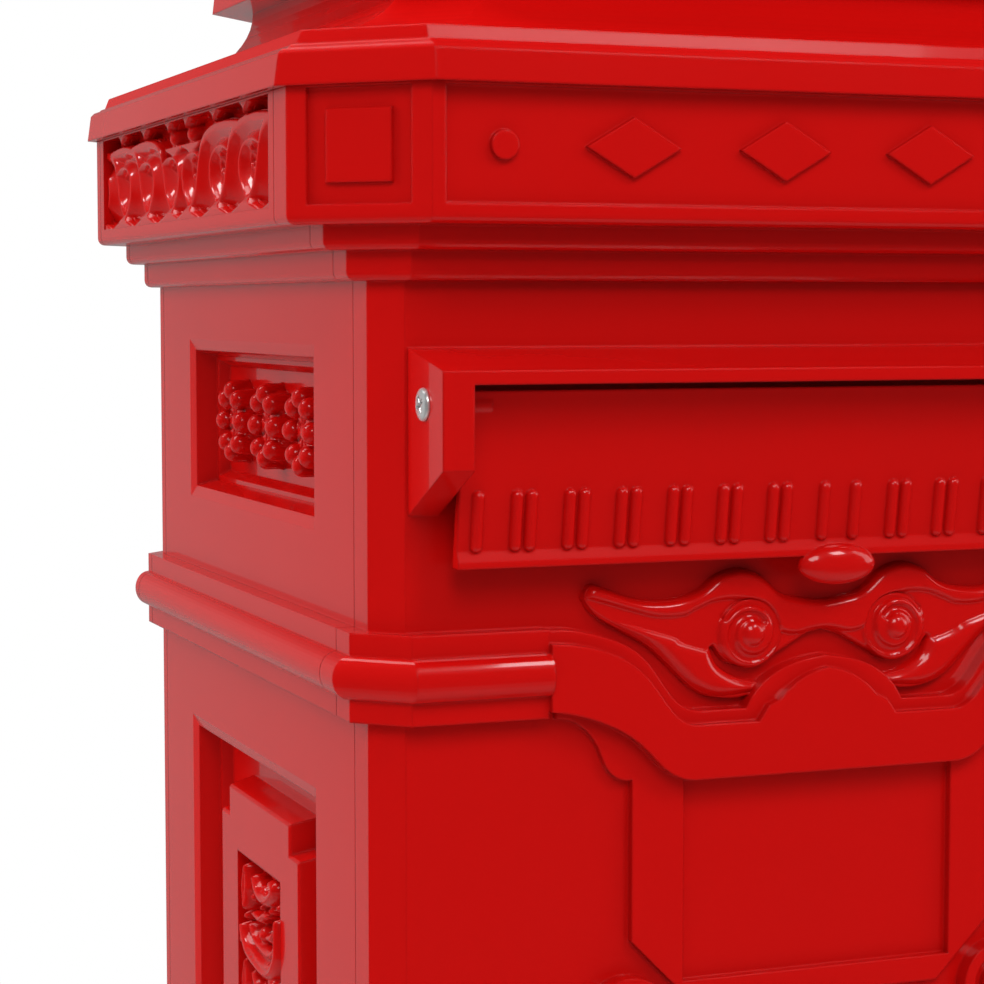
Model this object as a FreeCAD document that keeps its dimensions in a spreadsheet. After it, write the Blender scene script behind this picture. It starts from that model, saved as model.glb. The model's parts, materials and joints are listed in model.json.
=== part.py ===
import FreeCAD, Part
import math
import os
import re
from types import SimpleNamespace

import Sketcher
from FreeCAD import Placement, Rotation, Vector

# Pillar mailbox of painted cast aluminium.
# Millimetres, Z up, front towards -Y, origin at the middle of the plinth's underside.

SIZES = (
    # Pillar body
    ("body_width", 330.0, "body across the side faces"),
    ("body_depth", 312.0, "body from front face to back face"),
    ("corner_cut", 10.0, "leg of the 45 degree cut at each body corner"),
    ("wall", 5.0, "thickness of the castings"),
    ("front_return", 24.5, "how far the front casting wraps round the corner"),
    ("back_return", 16.5, "how far the back casting wraps round the corner"),
    ("seam_gap", 0.4, "open seam between neighbouring castings"),
    # Plinth
    ("plinth_height", 96.0, "height of the plinth"),
    ("plinth_out", 40.0, "overhang of the plinth block"),
    ("plinth_block", 52.0, "height of the plinth's upright block"),
    ("plinth_step", 20.0, "overhang of the plinth's middle step"),
    ("plinth_wall", 7.0, "thickness of the plinth"),
    ("foot_width", 70.0, "width of the flange that stands on the ground"),
    ("foot_hole", 5.5, "radius of an anchor hole"),
    ("foot_hole_x", 290.0, "anchor holes apart, left to right"),
    ("foot_hole_y", 270.0, "anchor holes apart, front to back"),
    # Belt moulding
    ("belt_height", 698.3, "height of the belt's middle"),
    ("belt_half", 15.2, "half the belt's height"),
    ("belt_fillet_out", 6.5, "overhang of the belt's fillets"),
    ("belt_bulge_out", 12.5, "overhang of the belt's round"),
    ("belt_bulge_half", 7.4, "half the height of the belt's round"),
    # Cornice and frieze
    ("cornice_height", 831.0, "underside of the cornice"),
    ("bead_out", 7.0, "overhang of the lower cornice moulding"),
    ("bead_rise", 10.0, "height of the lower cornice moulding"),
    ("ovolo_out", 15.0, "overhang of the upper cornice moulding"),
    ("ovolo_rise", 8.2, "height of the upper cornice moulding"),
    ("frieze_out", 27.5, "overhang of the frieze"),
    ("frieze_rise", 50.8, "height of the frieze"),
    ("frieze_wall", 14.0, "thickness of the frieze"),
    ("edge_round", 3.0, "radius of the mouldings' lower edges"),
    ("frieze_margin", 6.5, "rim above and below the sunk frieze panels"),
    ("frieze_sink", 2.5, "depth of the sunk front frieze panel"),
    ("wave_sink", 8.0, "depth of the sunk side frieze panel"),
    # Roof
    ("skirt_drop", 5.8, "how far the roof laps over the frieze"),
    ("skirt_gap", 0.6, "room between the frieze and the roof's skirt"),
    ("skirt_out", 31.5, "overhang of the roof slab"),
    ("slab_rise", 10.6, "height of the roof slab's face"),
    ("neck_out", 22.0, "overhang where the hollow neck starts"),
    ("neck_run", 53.0, "width of the neck's hollow curve"),
    ("neck_rise", 34.0, "height of the neck's hollow curve"),
    ("neck_top", 946.7, "underside of the upper slab"),
    ("upper_slab_out", 16.0, "overhang of the upper slab over the neck"),
    ("upper_slab_rise", 12.0, "height of the upper slab's face"),
    ("neck_corner_loss", 9.6, "how much less the corners are cut at the neck's top"),
    ("cap_rise", 46.0, "height of the cap"),
    ("cap_flat_width", 58.0, "flat top of the cap, left to right"),
    ("cap_flat_depth", 54.0, "flat top of the cap, front to back"),
    ("cap_flat_corner", 5.0, "cut at the corners of the cap's flat top"),
    ("roof_wall", 6.0, "thickness of the roof"),
    # Lips that the castings are screwed to
    ("lip_rise", 20.0, "height of a fixing lip"),
    ("lip_wall", 4.0, "thickness of a fixing lip"),
    # Rain hood and letter slot
    ("hood_width", 308.0, "hood over its cheeks"),
    ("hood_cheek", 11.0, "thickness of a cheek"),
    ("hood_out", 34.0, "reach of the hood"),
    ("hood_height", 808.8, "top of the hood at the wall"),
    ("hood_fall", 6.8, "slope of the hood's top"),
    ("hood_lintel", 5.0, "height of the hood's front edge"),
    ("cheek_front", 32.2, "height of a cheek's front edge"),
    ("cheek_slant", 16.8, "drop of a cheek from its front edge to the wall"),
    ("slot_width", 250.0, "letter slot, left to right"),
    ("slot_rise", 38.0, "letter slot, bottom to top"),
    ("slot_height", 771.0, "middle of the letter slot"),
    # Flap
    ("flap_width", 283.0, "flap, left to right"),
    ("flap_thick", 3.5, "thickness of the flap"),
    ("flap_top", 795.0, "top edge of the flap"),
    ("flap_bottom", 735.9, "bottom edge of the flap"),
    ("flap_top_out", 20.5, "front of the flap's top edge from the wall"),
    ("flap_bottom_out", 12.0, "front of the flap's bottom edge from the wall"),
    ("flap_lip", 2.5, "relief of the rim along the flap's bottom edge"),
    ("flap_lip_edge", 2.0, "height of that rim's front edge"),
    ("flap_lip_rise", 6.0, "height of that rim"),
    ("pivot_out", 16.5, "pivot from the wall"),
    ("pivot_height", 790.7, "height of the pivot"),
    ("pivot_boss", 4.0, "radius of a pivot boss"),
    ("pivot_boss_length", 10.0, "length of a pivot boss"),
    ("rib_radius", 2.2, "radius of a flap rib"),
    ("rib_height", 21.0, "height of a flap rib"),
    ("rib_rise", 5.3, "foot of the ribs above the flap's bottom edge"),
    ("rib_pair", 5.2, "ribs of a pair apart"),
    ("rib_pitch", 19.0, "pairs apart"),
    ("rib_first", 23.5, "first pair from the middle"),
    ("rib_middle", 12.2, "two middle ribs apart"),
    ("tab_half", 15.0, "half the finger tab's width"),
    ("tab_out", 5.5, "relief of the finger tab"),
    ("tab_drop", 10.4, "finger tab below the flap"),
    ("tab_rise", 4.0, "finger tab above the flap's bottom edge"),
    # Screws
    ("screw_radius", 2.5, "radius of a screw"),
    ("screw_head", 5.0, "radius of a screw head"),
    ("screw_head_rise", 3.2, "height of a screw head"),
    ("pivot_head", 5.5, "radius of a pivot screw's head"),
    ("pivot_head_rise", 1.9, "height of a pivot screw's head"),
    ("pivot_head_flat", 3.2, "radius of a pivot screw's flat top"),
    ("pivot_head_edge", 0.6, "height of a pivot screw's upright edge"),
    ("screw_grip", 3.5, "thread in the casting"),
    ("run_fit", 0.08, "radial room of a turning fit"),
    # Door
    ("door_width", 240.0, "door, left to right"),
    ("door_rise", 370.0, "door, bottom to top"),
    ("door_bottom", 140.0, "bottom edge of the door"),
    ("door_thick", 6.0, "thickness of the door"),
    ("door_gap", 0.4, "room between the door and the front"),
    ("door_lap", 10.0, "door beyond its opening"),
    ("door_field", 24.0, "rim around the door's raised field"),
    ("door_field_out", 2.5, "relief of the door's field"),
    ("knuckle_radius", 5.0, "radius of a hinge knuckle"),
    ("knuckle_length", 24.0, "length of a door knuckle"),
    ("lug_length", 10.0, "length of a hinge lug"),
    ("hinge_gap", 0.5, "room beside and behind a knuckle"),
    ("hinge_inset", 60.0, "hinges from the door's ends"),
    ("pin_radius", 2.0, "radius of a hinge pin"),
    ("pin_head", 3.5, "radius of a hinge pin's head"),
    ("pin_head_rise", 2.0, "height of a hinge pin's head"),
    # Cam lock
    ("lock_inset", 28.0, "lock from the door's edge"),
    ("lock_radius", 8.0, "radius of the lock's barrel"),
    ("lock_flange", 11.0, "radius of the lock's flange"),
    ("lock_flange_rise", 2.0, "height of the lock's flange"),
    ("lock_flange_flat", 9.9, "radius of the flange's flat front"),
    ("lock_flange_edge", 1.0, "height of the flange's upright edge"),
    ("lock_length", 12.8, "length of the lock's barrel"),
    ("plug_radius", 5.0, "radius of the turning plug"),
    ("keyway_width", 1.6, "width of the key slot"),
    ("keyway_length", 6.0, "length of the key slot"),
    ("keyway_depth", 3.0, "depth of the key slot"),
    ("nut_width", 21.0, "lock nut over its corners"),
    ("nut_rise", 4.0, "thickness of the lock nut"),
    ("cam_width", 12.0, "width of the cam"),
    ("cam_reach", 32.0, "cam from the lock's axis to its tip"),
    ("cam_thick", 2.5, "thickness of the cam"),
    ("cam_gap", 0.3, "room between the barrel and the cam"),
    # Corner angles, shelf and rails
    ("angle_leg", 30.0, "leg of a corner angle along the front or back"),
    ("angle_side_leg", 45.0, "leg of a corner angle along the side"),
    ("angle_thick", 3.0, "thickness of an angle"),
    ("angle_top", 820.0, "top of the corner angles"),
    ("angle_corner", 8.0, "bevel on a corner angle's heel"),
    ("rail_leg", 20.0, "leg of a shelf rail"),
    ("rail_length", 200.0, "length of a shelf rail"),
    ("shelf_thick", 2.0, "thickness of the shelf"),
    ("shelf_height", 145.0, "top of the shelf"),
    ("shelf_edge", 12.0, "turned-up edge at the shelf's back"),
    ("shelf_room", 12.0, "room in front of and behind the shelf"),
    # Side ornament
    ("recess_margin", 46.0, "side recesses from the side casting's seams"),
    ("window_top", 809.0, "top of the upper side recess"),
    ("window_rise", 66.3, "height of the upper side recess"),
    ("recess_depth", 14.6, "depth of the side recesses"),
    ("recess_slope", 4.5, "width of a recess's sloping rim"),
    ("recess_slope_depth", 1.5, "depth of a recess's sloping rim"),
    ("recess_lean", 2.6, "lean of a recess's walls"),
    ("recess_step", 1.7, "width of the step between a recess's walls"),
    ("recess_step_depth", 10.0, "depth of that step"),
    ("recess_top", 649.5, "top of the lower side recess"),
    ("recess_bottom", 170.0, "bottom of the lower side recess"),
    ("rosette_pitch", 48.6, "rosettes apart"),
    ("rosette_radius", 12.6, "circle of a rosette's beads"),
    ("bead_radius", 4.3, "radius of a bead"),
    ("rosette_out", 10.8, "relief of a rosette"),
    ("tablet_side", 35.0, "tablet from the recess's sides"),
    ("tablet_margin", 23.5, "tablet from the recess's ends"),
    ("tablet_sink", 3.3, "tablet's face behind the side face"),
    ("tablet_ear", 12.0, "notch at the tablet's corners"),
    ("tablet_lean", 4.0, "lean of the tablet's sides"),
    ("tablet_edge", 1.0, "bevel round the tablet's face"),
    ("sunk_side", 23.5, "sunk panel from the tablet's sides"),
    ("sunk_margin", 24.0, "sunk panel from the tablet's ends"),
    ("sunk_depth", 6.0, "depth of the sunk panel"),
    ("scroll_pitch", 38.4, "scrolls of the sunk panel apart"),
    ("scroll_out", 4.0, "relief of the scrolls"),
    ("scroll_bead", 3.4, "radius of a bead beside a scroll"),
    ("wave_pitch", 41.0, "waves of the side frieze apart"),
    ("wave_first", 13.8, "first wave's eye from the middle"),
    ("wave_eye", 5.5, "radius of a wave's eye"),
    ("wave_eye_drop", 4.0, "waves' eyes below the frieze's middle"),
    ("ball_radius", 4.0, "radius of a ball above the first eyes"),
    ("ball_rise", 13.0, "those balls above the frieze's middle"),
    ("wave_out", 4.2, "relief of the waves' edges and of the corners between them"),
    ("wave_eye_out", 1.0, "relief of the waves' eyes"),
    # Front ornament
    ("band_out", 9.0, "relief of the swan-neck band"),
    ("band_step_out", 6.0, "relief of the step above the swan-neck band"),
    ("stile_out", 3.0, "relief of the cartouche"),
    ("band_reach", 105.7, "end of the swan-neck band from the middle"),
    ("panel_width", 107.0, "sunk panel of the cartouche, left to right"),
    ("panel_rise", 71.0, "sunk panel of the cartouche, bottom to top"),
    ("panel_drop", 40.7, "top of that panel below the belt's middle"),
    ("crest_out", 2.8, "relief of the crest"),
    ("volute_out", 4.0, "relief of the volutes"),
    ("volute_radius", 11.8, "radius of a crest volute"),
    ("volute_apart", 57.4, "crest volutes apart"),
    ("volute_rise", 10.3, "crest volutes above the belt's middle"),
    ("low_volute_radius", 16.0, "radius of a lower volute"),
    ("low_volute_apart", 150.0, "lower volutes apart"),
    ("low_volute_drop", 124.0, "lower volutes below the belt's middle"),
    ("lozenge_width", 34.0, "lozenge in the frieze, left to right"),
    ("lozenge_rise", 20.0, "lozenge in the frieze, bottom to top"),
    ("lozenge_pitch", 56.0, "lozenges apart"),
    ("lozenge_out", 2.0, "relief of the frieze's lozenges and dots"),
    ("dot_radius", 4.8, "radius of a frieze dot"),
    ("dot_apart", 259.4, "frieze's end dots apart"),
    ("square_width", 38.0, "sunk square on a canted frieze face"),
    ("square_sink", 1.6, "depth of that sunk square"),
    ("square_field", 24.0, "raised field in that sunk square"),
    # How the castings are screwed together
    ("lip_screw_front", 90.0, "lip screws of the front and back from the middle"),
    ("lip_screw_side", 75.0, "lip screws of the sides from the middle"),
    ("angle_screw_step", 300.0, "screws of a corner angle apart"),
    ("angle_screw_inset", 12.0, "screws from a corner angle's edges"),
)
ALIASES = {alias for alias, value, note in SIZES}

# How finely a round moulding and a rounded edge are stepped.
ROUND_STEPS = 16
EDGE_STEPS = 4
# Roots of raised ornament are sunk this far into the casting that carries them.
ROOT = 2.0
# Bodies longer than the pillar, for cutting it into castings.
FAR = 2000.0
# How many of each ornament there are: waves each way from the middle, lozenges, beads round a rosette.
WAVES = 3
LOZENGES = 4
ROSETTE_BEADS = 8
# Shares of a volute's radius that its groove, ring and eye take, and of its relief below the groove.
GROOVE_SHARE, RING_SHARE, EYE_SHARE = 0.72, 0.50, 0.30
GROOVE_FLOOR = 0.55
# The door's hinges, and the height of each hinge's middle.
HINGES = (("Low", "door_bottom + hinge_inset"), ("High", "door_bottom + door_rise - hinge_inset"))

# Outlines of the front ornament, left half, across from the middle and up from the belt's middle.
BAND_TOP = ((-105.7, 10.4), (-88.2, 7.8), (-78.9, 3.9), (-69.5, -3.5), (-62.7, -12.6), (-56.2, -18.9),
            (-50.4, -20.3))
BAND_LEDGE = ((-50.4, -20.3), (-27.2, -20.3), (-23.4, -14.8), (-19.4, -13.3))
BAND_ARCH = ((-19.4, -13.3), (-11.6, -6.6), (0.0, -2.7))
BAND_FOOT = ((0.0, -2.7), (0.0, -39.5), (-52.7, -39.5))
BAND_UNDER = ((-52.7, -39.5), (-62.3, -35.7), (-71.8, -26.4), (-86.8, -17.5), (-105.7, -12.8))
STEP_TOP = ((-105.7, 14.8), (-96.2, 14.3), (-86.9, 12.1), (-71.9, 4.9), (-64.3, -4.2), (-57.0, -13.0),
            (-49.0, -15.9))
STEP_LEDGE = ((-49.0, -15.9), (-31.1, -15.9), (-28.6, -11.6))
STEP_ARCH = ((-28.6, -11.6), (-21.4, -4.9), (-9.6, -0.2), (0.0, 1.2))
STEP_FOOT = ((0.0, 1.2), (0.0, -30.0), (-56.0, -30.0), (-80.0, -12.0), (-105.7, -2.0))
STILE_OGEE = ((-101.7, -16.2), (-92.0, -19.5), (-86.0, -27.0), (-83.0, -34.0), (-79.0, -38.0),
              (-73.3, -39.0))
STILE_SIDE = ((-73.3, -39.0), (-73.3, -95.9), (-48.5, -121.0), (0.0, -121.0), (0.0, -30.0), (-60.0, -30.0),
              (-90.0, -12.0), (-101.7, -8.0))
WING_TOP = ((-91.6, 24.8), (-89.2, 28.8), (-84.3, 27.8), (-73.4, 23.8), (-63.4, 22.5), (-54.4, 23.3),
            (-47.3, 25.7), (-41.0, 30.3), (-32.6, 32.5), (-24.3, 30.1), (-16.0, 23.4), (-8.0, 21.2),
            (0.0, 20.3))
WING_STRAP = ((0.0, 20.3), (0.0, 10.3))
WING_STRAP_UNDER = ((0.0, 10.3), (-5.0, 9.5), (-11.5, 6.2), (-20.5, 1.5), (-29.5, -1.0), (-37.5, 0.8),
                    (-41.0, 4.4))
WING_CHANNEL = ((-41.0, 4.4), (-43.4, 7.4), (-46.4, 5.2))
LEAF_INNER = ((-46.4, 5.2), (-41.5, -1.6), (-32.8, -5.9), (-25.2, -7.6))
LEAF_TIP = ((-25.2, -7.6), (-26.4, -11.1))
LEAF_OUTER = ((-26.4, -11.1), (-40.5, -12.0), (-49.6, -8.6), (-56.2, -3.0), (-66.9, 7.0), (-77.3, 13.1),
              (-88.2, 19.9), (-91.6, 24.8))
# Outlines of a wave's two edges, the rear one arching over the eye and the front one round it: across from
# the eye and up from the frieze's middle.
REAR_BACK = ((-41.6, -15.0), (-33.0, -8.5), (-30.3, -4.0), (-28.4, 0.5), (-24.5, 8.0), (-20.0, 11.5),
             (-15.0, 13.5), (-3.0, 15.2), (10.0, 15.3), (20.0, 14.8), (29.6, 13.6))
REAR_FRONT = ((29.4, 12.6), (20.0, 13.0), (10.0, 13.5), (-2.8, 13.4), (-14.2, 11.8), (-18.7, 10.1),
              (-22.8, 7.1), (-26.6, 0.0), (-28.5, -4.5), (-31.4, -9.5), (-40.0, -15.8))
EYE_INSIDE = ((14.8, 3.0), (8.0, 4.7), (1.0, 4.8), (-5.0, 3.5), (-9.0, 0.5), (-10.0, -4.0), (-7.5, -8.5),
              (0.6, -15.0))
EYE_OUTSIDE = ((-1.0, -15.8), (-9.0, -9.3), (-11.7, -4.2), (-10.6, 1.2), (-5.9, 5.0), (0.9, 6.5), (8.4, 6.4),
               (15.0, 4.4))
# Corners that are left between the waves' feet, and between the arches over them.
WAVE_SPANDREL = ((0.0, -12.6), (20.5, -18.9), (20.5, -19.5), (-20.5, -19.5), (-20.5, -18.9))
WAVE_CUSP = ((0.0, 14.0), (6.6, 19.5), (-6.6, 19.5))
# Outlines of a scroll's crescent and leaf, across from the panel's middle and up from the scroll's middle.
CRESCENT_UNDER = ((-21.5, -9.5), (-17.5, -17.0), (-9.5, -20.6), (9.2, -22.3), (21.5, -19.8), (29.0, -12.5),
                  (30.6, -4.0), (28.4, 3.0))
CRESCENT_OVER = ((28.4, 3.0), (27.2, -4.0), (25.0, -11.2), (18.8, -16.2), (9.0, -18.3), (-8.5, -16.6),
                 (-15.5, -13.4), (-21.5, -9.5))
LEAF_SIDE = ((-16.5, 14.6), (-22.0, 7.6), (-18.0, 0.4))
LEAF_BACK = ((-18.0, 0.4), (-14.6, 7.4), (-16.5, 14.6))
# Beads beside a scroll.
SCROLL_BEADS = ((4.5, 9.0), (16.0, 10.5), (2.0, -8.0))


def make_sheet(doc):
    """Put the driving sizes in a spreadsheet, one alias each."""
    sheet = doc.addObject("Spreadsheet::Sheet", "Sizes")
    for row, (alias, value, note) in enumerate(SIZES, start=1):
        sheet.set(f"A{row}", note)
        sheet.set(f"B{row}", str(value))
        sheet.setAlias(f"B{row}", alias)
    doc.recompute()
    return sheet


def read_sizes(sheet):
    """The sheet's values as plain numbers, with the places that follow from them."""
    s = SimpleNamespace(**{alias: float(sheet.get(alias)) for alias, value, note in SIZES})
    s.front = -s.body_depth / 2
    s.back = s.body_depth / 2
    s.side = s.body_width / 2
    s.front_seam = s.front + s.front_return
    s.back_seam = s.back - s.back_return
    s.bead_top = s.cornice_height + s.bead_rise
    s.frieze_bottom = s.bead_top + s.ovolo_rise
    s.panel_top = s.frieze_bottom + s.frieze_rise
    s.frieze_middle = (s.frieze_bottom + s.panel_top) / 2
    s.sunk_rise = s.frieze_rise - 2 * s.frieze_margin
    s.sunk_range = (s.frieze_middle - s.sunk_rise / 2, s.frieze_middle + s.sunk_rise / 2)
    s.side_middle = (s.front_seam + s.back_seam) / 2
    s.lip_bottom = s.plinth_height
    s.roof_lip_bottom = s.panel_top - s.lip_rise
    s.door_top = s.door_bottom + s.door_rise
    s.hinge_x = s.door_width / 2 + s.knuckle_radius + s.hinge_gap
    s.hinge_y = s.front - s.knuckle_radius - s.hinge_gap
    s.frieze_in = s.frieze_out - s.frieze_wall
    return s


def bind(item, prop, expression):
    """Tie a property to the sheet: each alias in the expression gets the sheet's name."""
    text = re.sub(r"[a-z_]+", lambda word: word.group(0) if word.group(0) not in ALIASES
                  else "Sizes." + word.group(0), expression)
    item.setExpression(prop, text)


def place(item, base):
    """Tie an object's place to the sheet."""
    for axis, expression in zip("xyz", base):
        bind(item, "Placement.Base." + axis, expression)


def box(doc, name, size, base):
    """A Part box whose size and place follow the sheet."""
    item = doc.addObject("Part::Box", name)
    for prop, expression in zip(("Length", "Width", "Height"), size):
        bind(item, prop, expression)
    place(item, base)
    return item


def rod(doc, name, radius, length, base, along):
    """A Part cylinder from its base along a direction, following the sheet."""
    item = doc.addObject("Part::Cylinder", name)
    item.Placement = Placement(Vector(), Rotation(Vector(0, 0, 1), along))
    bind(item, "Radius", radius)
    bind(item, "Height", length)
    place(item, base)
    return item


def fuse(doc, name, items):
    """One solid from several overlapping ones."""
    item = doc.addObject("Part::MultiFuse", name)
    item.Shapes = items
    item.Refine = True
    return item


def cut(doc, name, base, tool):
    """The base with the tool taken away."""
    item = doc.addObject("Part::Cut", name)
    item.Base = base
    item.Tool = tool
    item.Refine = True
    return item


def feature(doc, name, shape):
    """A document object for a shape worked out from the sheet's values."""
    item = doc.addObject("Part::Feature", name)
    item.Shape = shape
    return item


def origin_feature(body, role):
    """A plane or axis of a body's own origin."""
    return next(item for item in body.Origin.OriginFeatures if item.Role == role)


def sketch_outline(body, plane, corners, offset="0"):
    """A closed polygon on an origin plane, each corner tied to the sheet."""
    sketch = body.newObject("Sketcher::SketchObject", body.Name + "Sketch")
    sketch.AttachmentSupport = [(origin_feature(body, plane), "")]
    sketch.MapMode = "FlatFace"
    bind(sketch, "AttachmentOffset.Base.z", offset)
    count = len(corners)
    turns = [2 * math.pi * k / count for k in range(count)]
    guess = [Vector(math.cos(turn), math.sin(turn), 0) for turn in turns]
    for k in range(count):
        sketch.addGeometry(Part.LineSegment(guess[k], guess[(k + 1) % count]), False)
    for k in range(count):
        sketch.addConstraint(Sketcher.Constraint("Coincident", k, 2, (k + 1) % count, 1))
    for k, corner in enumerate(corners):
        for kind, guessed, expression in zip(("DistanceX", "DistanceY"), guess[k], corner):
            index = sketch.addConstraint(Sketcher.Constraint(kind, -1, 1, k, 1, guessed))
            bind(sketch, f"Constraints[{index}]", expression)
    return sketch


def padded(doc, name, plane, corners, length, offset="0", both_ways=False):
    """A body padded from a polygon."""
    body = doc.addObject("PartDesign::Body", name)
    pad = body.newObject("PartDesign::Pad", name + "Pad")
    pad.Profile = sketch_outline(body, plane, corners, offset)
    bind(pad, "Length", length)
    pad.Midplane = both_ways
    return body


def turned(doc, name, corners, base, along):
    """A body turned about its own axis: corners are (radius, height along the axis)."""
    body = doc.addObject("PartDesign::Body", name)
    revolution = body.newObject("PartDesign::Revolution", name + "Turn")
    sketch = sketch_outline(body, "XZ_Plane", corners)
    revolution.Profile = sketch
    revolution.ReferenceAxis = (sketch, ["V_Axis"])
    revolution.Angle = 360.0
    body.Placement = Placement(Vector(), Rotation(Vector(0, 0, 1), along))
    place(body, base)
    return body


def canted(half_x, half_y, corner, height):
    """Corners of a rectangle with its corners cut at 45 degrees."""
    x, y, c = half_x, half_y, corner
    quarter = ((x - c, -y), (x, -y + c), (x, y - c), (x - c, y))
    flat = quarter + tuple((-px, py) for px, py in reversed(quarter))
    return [Vector(px, py, height) for px, py in flat]


def stacked(rings):
    """A closed solid through a stack of canted rings, with flat facets between them."""
    faces = [Part.Face(Part.makePolygon(ring + ring[:1])) for ring in (rings[0], rings[-1])]
    for low, high in zip(rings, rings[1:]):
        for k in range(len(low)):
            after = (k + 1) % len(low)
            corners = [low[k], low[after], high[after], high[k], low[k]]
            faces.append(Part.Face(Part.makePolygon(corners)))
    shell = Part.makeShell(faces)
    shell.sewShape()
    solid = Part.makeSolid(Part.Shell(shell.Faces))
    if solid.Volume < 0:
        solid.reverse()
    return solid


def grown(s, out, height):
    """The body's plan at one height, grown by an overhang."""
    return canted(s.side + out, s.back + out, s.corner_cut + out, height)


def moulded(s, levels):
    """A solid of the body's plan, grown by each level's overhang: levels are (height, overhang)."""
    return stacked([grown(s, out, height) for height, out in levels])


def lower_round(s, height, inner, outer):
    """Levels of a moulding's underside and its rounded lower edge."""
    levels = [(height, inner)]
    for k in range(EDGE_STEPS + 1):
        turn = math.pi / 2 * k / EDGE_STEPS
        rise = s.edge_round * (1 - math.cos(turn))
        levels.append((height + rise, outer - s.edge_round * (1 - math.sin(turn))))
    return levels


def belt_levels(s):
    """Levels of the belt: fillet, round, fillet."""
    fillet = s.belt_fillet_out
    low, high = s.belt_height - s.belt_half, s.belt_height + s.belt_half
    levels = [(low, 0.0), (low, fillet)]
    for k in range(ROUND_STEPS + 1):
        turn = math.pi * k / ROUND_STEPS
        height = s.belt_height - s.belt_bulge_half * math.cos(turn)
        levels.append((height, fillet + (s.belt_bulge_out - fillet) * math.sin(turn)))
    return levels + [(high, fillet), (high, 0.0)]


def pillar_outside(s):
    """The pillar's outer skin, from the plinth to the top of the frieze."""
    levels = [(s.plinth_height, 0.0)] + belt_levels(s)
    levels += lower_round(s, s.cornice_height, 0.0, s.bead_out)
    levels += lower_round(s, s.bead_top, s.bead_out, s.ovolo_out)
    levels += lower_round(s, s.frieze_bottom, s.ovolo_out, s.frieze_out)
    return moulded(s, levels + [(s.panel_top, s.frieze_out)])


def pillar_inside(s):
    """The hollow of the pillar, wider behind the frieze."""
    return moulded(s, [(s.plinth_height, -s.wall), (s.cornice_height, -s.wall),
                       (s.panel_top - s.frieze_rise + s.wall, s.frieze_in), (s.panel_top, s.frieze_in)])


def block(x_range, y_range, z_range):
    """A plain box between two corners."""
    low = Vector(x_range[0], y_range[0], z_range[0])
    size = Vector(x_range[1], y_range[1], z_range[1]) - low
    return Part.makeBox(size.x, size.y, size.z, low)


def curve(points, to_space):
    """A smooth edge through the points of an outline."""
    spline = Part.BSplineCurve()
    spline.interpolate([to_space(*point) for point in points])
    return [spline.toShape()]


def straight(points, to_space):
    """Straight edges through the points of an outline."""
    corners = [to_space(*point) for point in points]
    return [Part.LineSegment(a, b).toShape() for a, b in zip(corners, corners[1:])]


def raised(edges, sweep):
    """A solid swept from a closed outline of edges."""
    return Part.Face(Part.Wire(edges)).extrude(sweep)


def mirrored(solid):
    """A solid with its mirror image across the middle, as one."""
    return solid.fuse(solid.mirror(Vector(), Vector(1, 0, 0)))


def both_sides(solid):
    """A solid and its mirror image across the middle."""
    return [solid, solid.mirror(Vector(), Vector(1, 0, 0))]


def volute(centre, radius, relief, along):
    """A scroll seen end on: a disc with a turned groove and a round eye."""
    disc = Part.makeCylinder(radius, relief + ROOT, centre - along * ROOT, along)
    floor = centre + along * (relief * GROOVE_FLOOR)
    groove = Part.makeCylinder(radius * GROOVE_SHARE, relief, floor, along)
    ring = Part.makeCylinder(radius * RING_SHARE, relief * (1 - GROOVE_FLOOR), floor, along)
    eye = Part.makeSphere(radius * EYE_SHARE, centre + along * relief)
    return disc.cut(groove).fuse([ring, eye])


def front_point(s):
    """Turn an outline point, across and up from the belt's middle, into a point sunk in the front face."""
    return lambda x, up: Vector(x, s.front + ROOT, s.belt_height + up)


def front_ornament(s):
    """Swan-neck band, cartouche, crest and volutes on the front face."""
    at = front_point(s)
    out = Vector(0, -1, 0)
    band = raised(curve(BAND_TOP, at) + straight(BAND_LEDGE, at) + curve(BAND_ARCH, at)
                  + straight(BAND_FOOT, at) + curve(BAND_UNDER, at)
                  + straight((BAND_UNDER[-1], BAND_TOP[0]), at), out * (s.band_out + ROOT))
    step = raised(curve(STEP_TOP, at) + straight(STEP_LEDGE, at) + curve(STEP_ARCH, at)
                  + straight(STEP_FOOT + STEP_TOP[:1], at), out * (s.band_step_out + ROOT))
    stile = raised(curve(STILE_OGEE, at) + straight(STILE_SIDE + STILE_OGEE[:1], at),
                   out * (s.stile_out + ROOT))
    wing = raised(curve(WING_TOP, at) + straight(WING_STRAP, at) + curve(WING_STRAP_UNDER, at)
                  + straight(WING_CHANNEL, at) + curve(LEAF_INNER, at) + straight(LEAF_TIP, at)
                  + curve(LEAF_OUTER, at), out * (s.crest_out + ROOT))
    panel_top = s.belt_height - s.panel_drop
    panel = block((-s.panel_width / 2, s.panel_width / 2), (s.front - s.band_out, s.front),
                  (panel_top - s.panel_rise, panel_top))
    pieces = [mirrored(band), mirrored(step), mirrored(stile).cut(panel), mirrored(wing)]
    crest_eye = Vector(-s.volute_apart / 2, s.front, s.belt_height + s.volute_rise)
    low_eye = Vector(-s.low_volute_apart / 2, s.front, s.belt_height - s.low_volute_drop)
    pieces += both_sides(volute(crest_eye, s.volute_radius, s.volute_out, out))
    pieces += both_sides(volute(low_eye, s.low_volute_radius, s.band_step_out, out))
    return pieces


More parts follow.
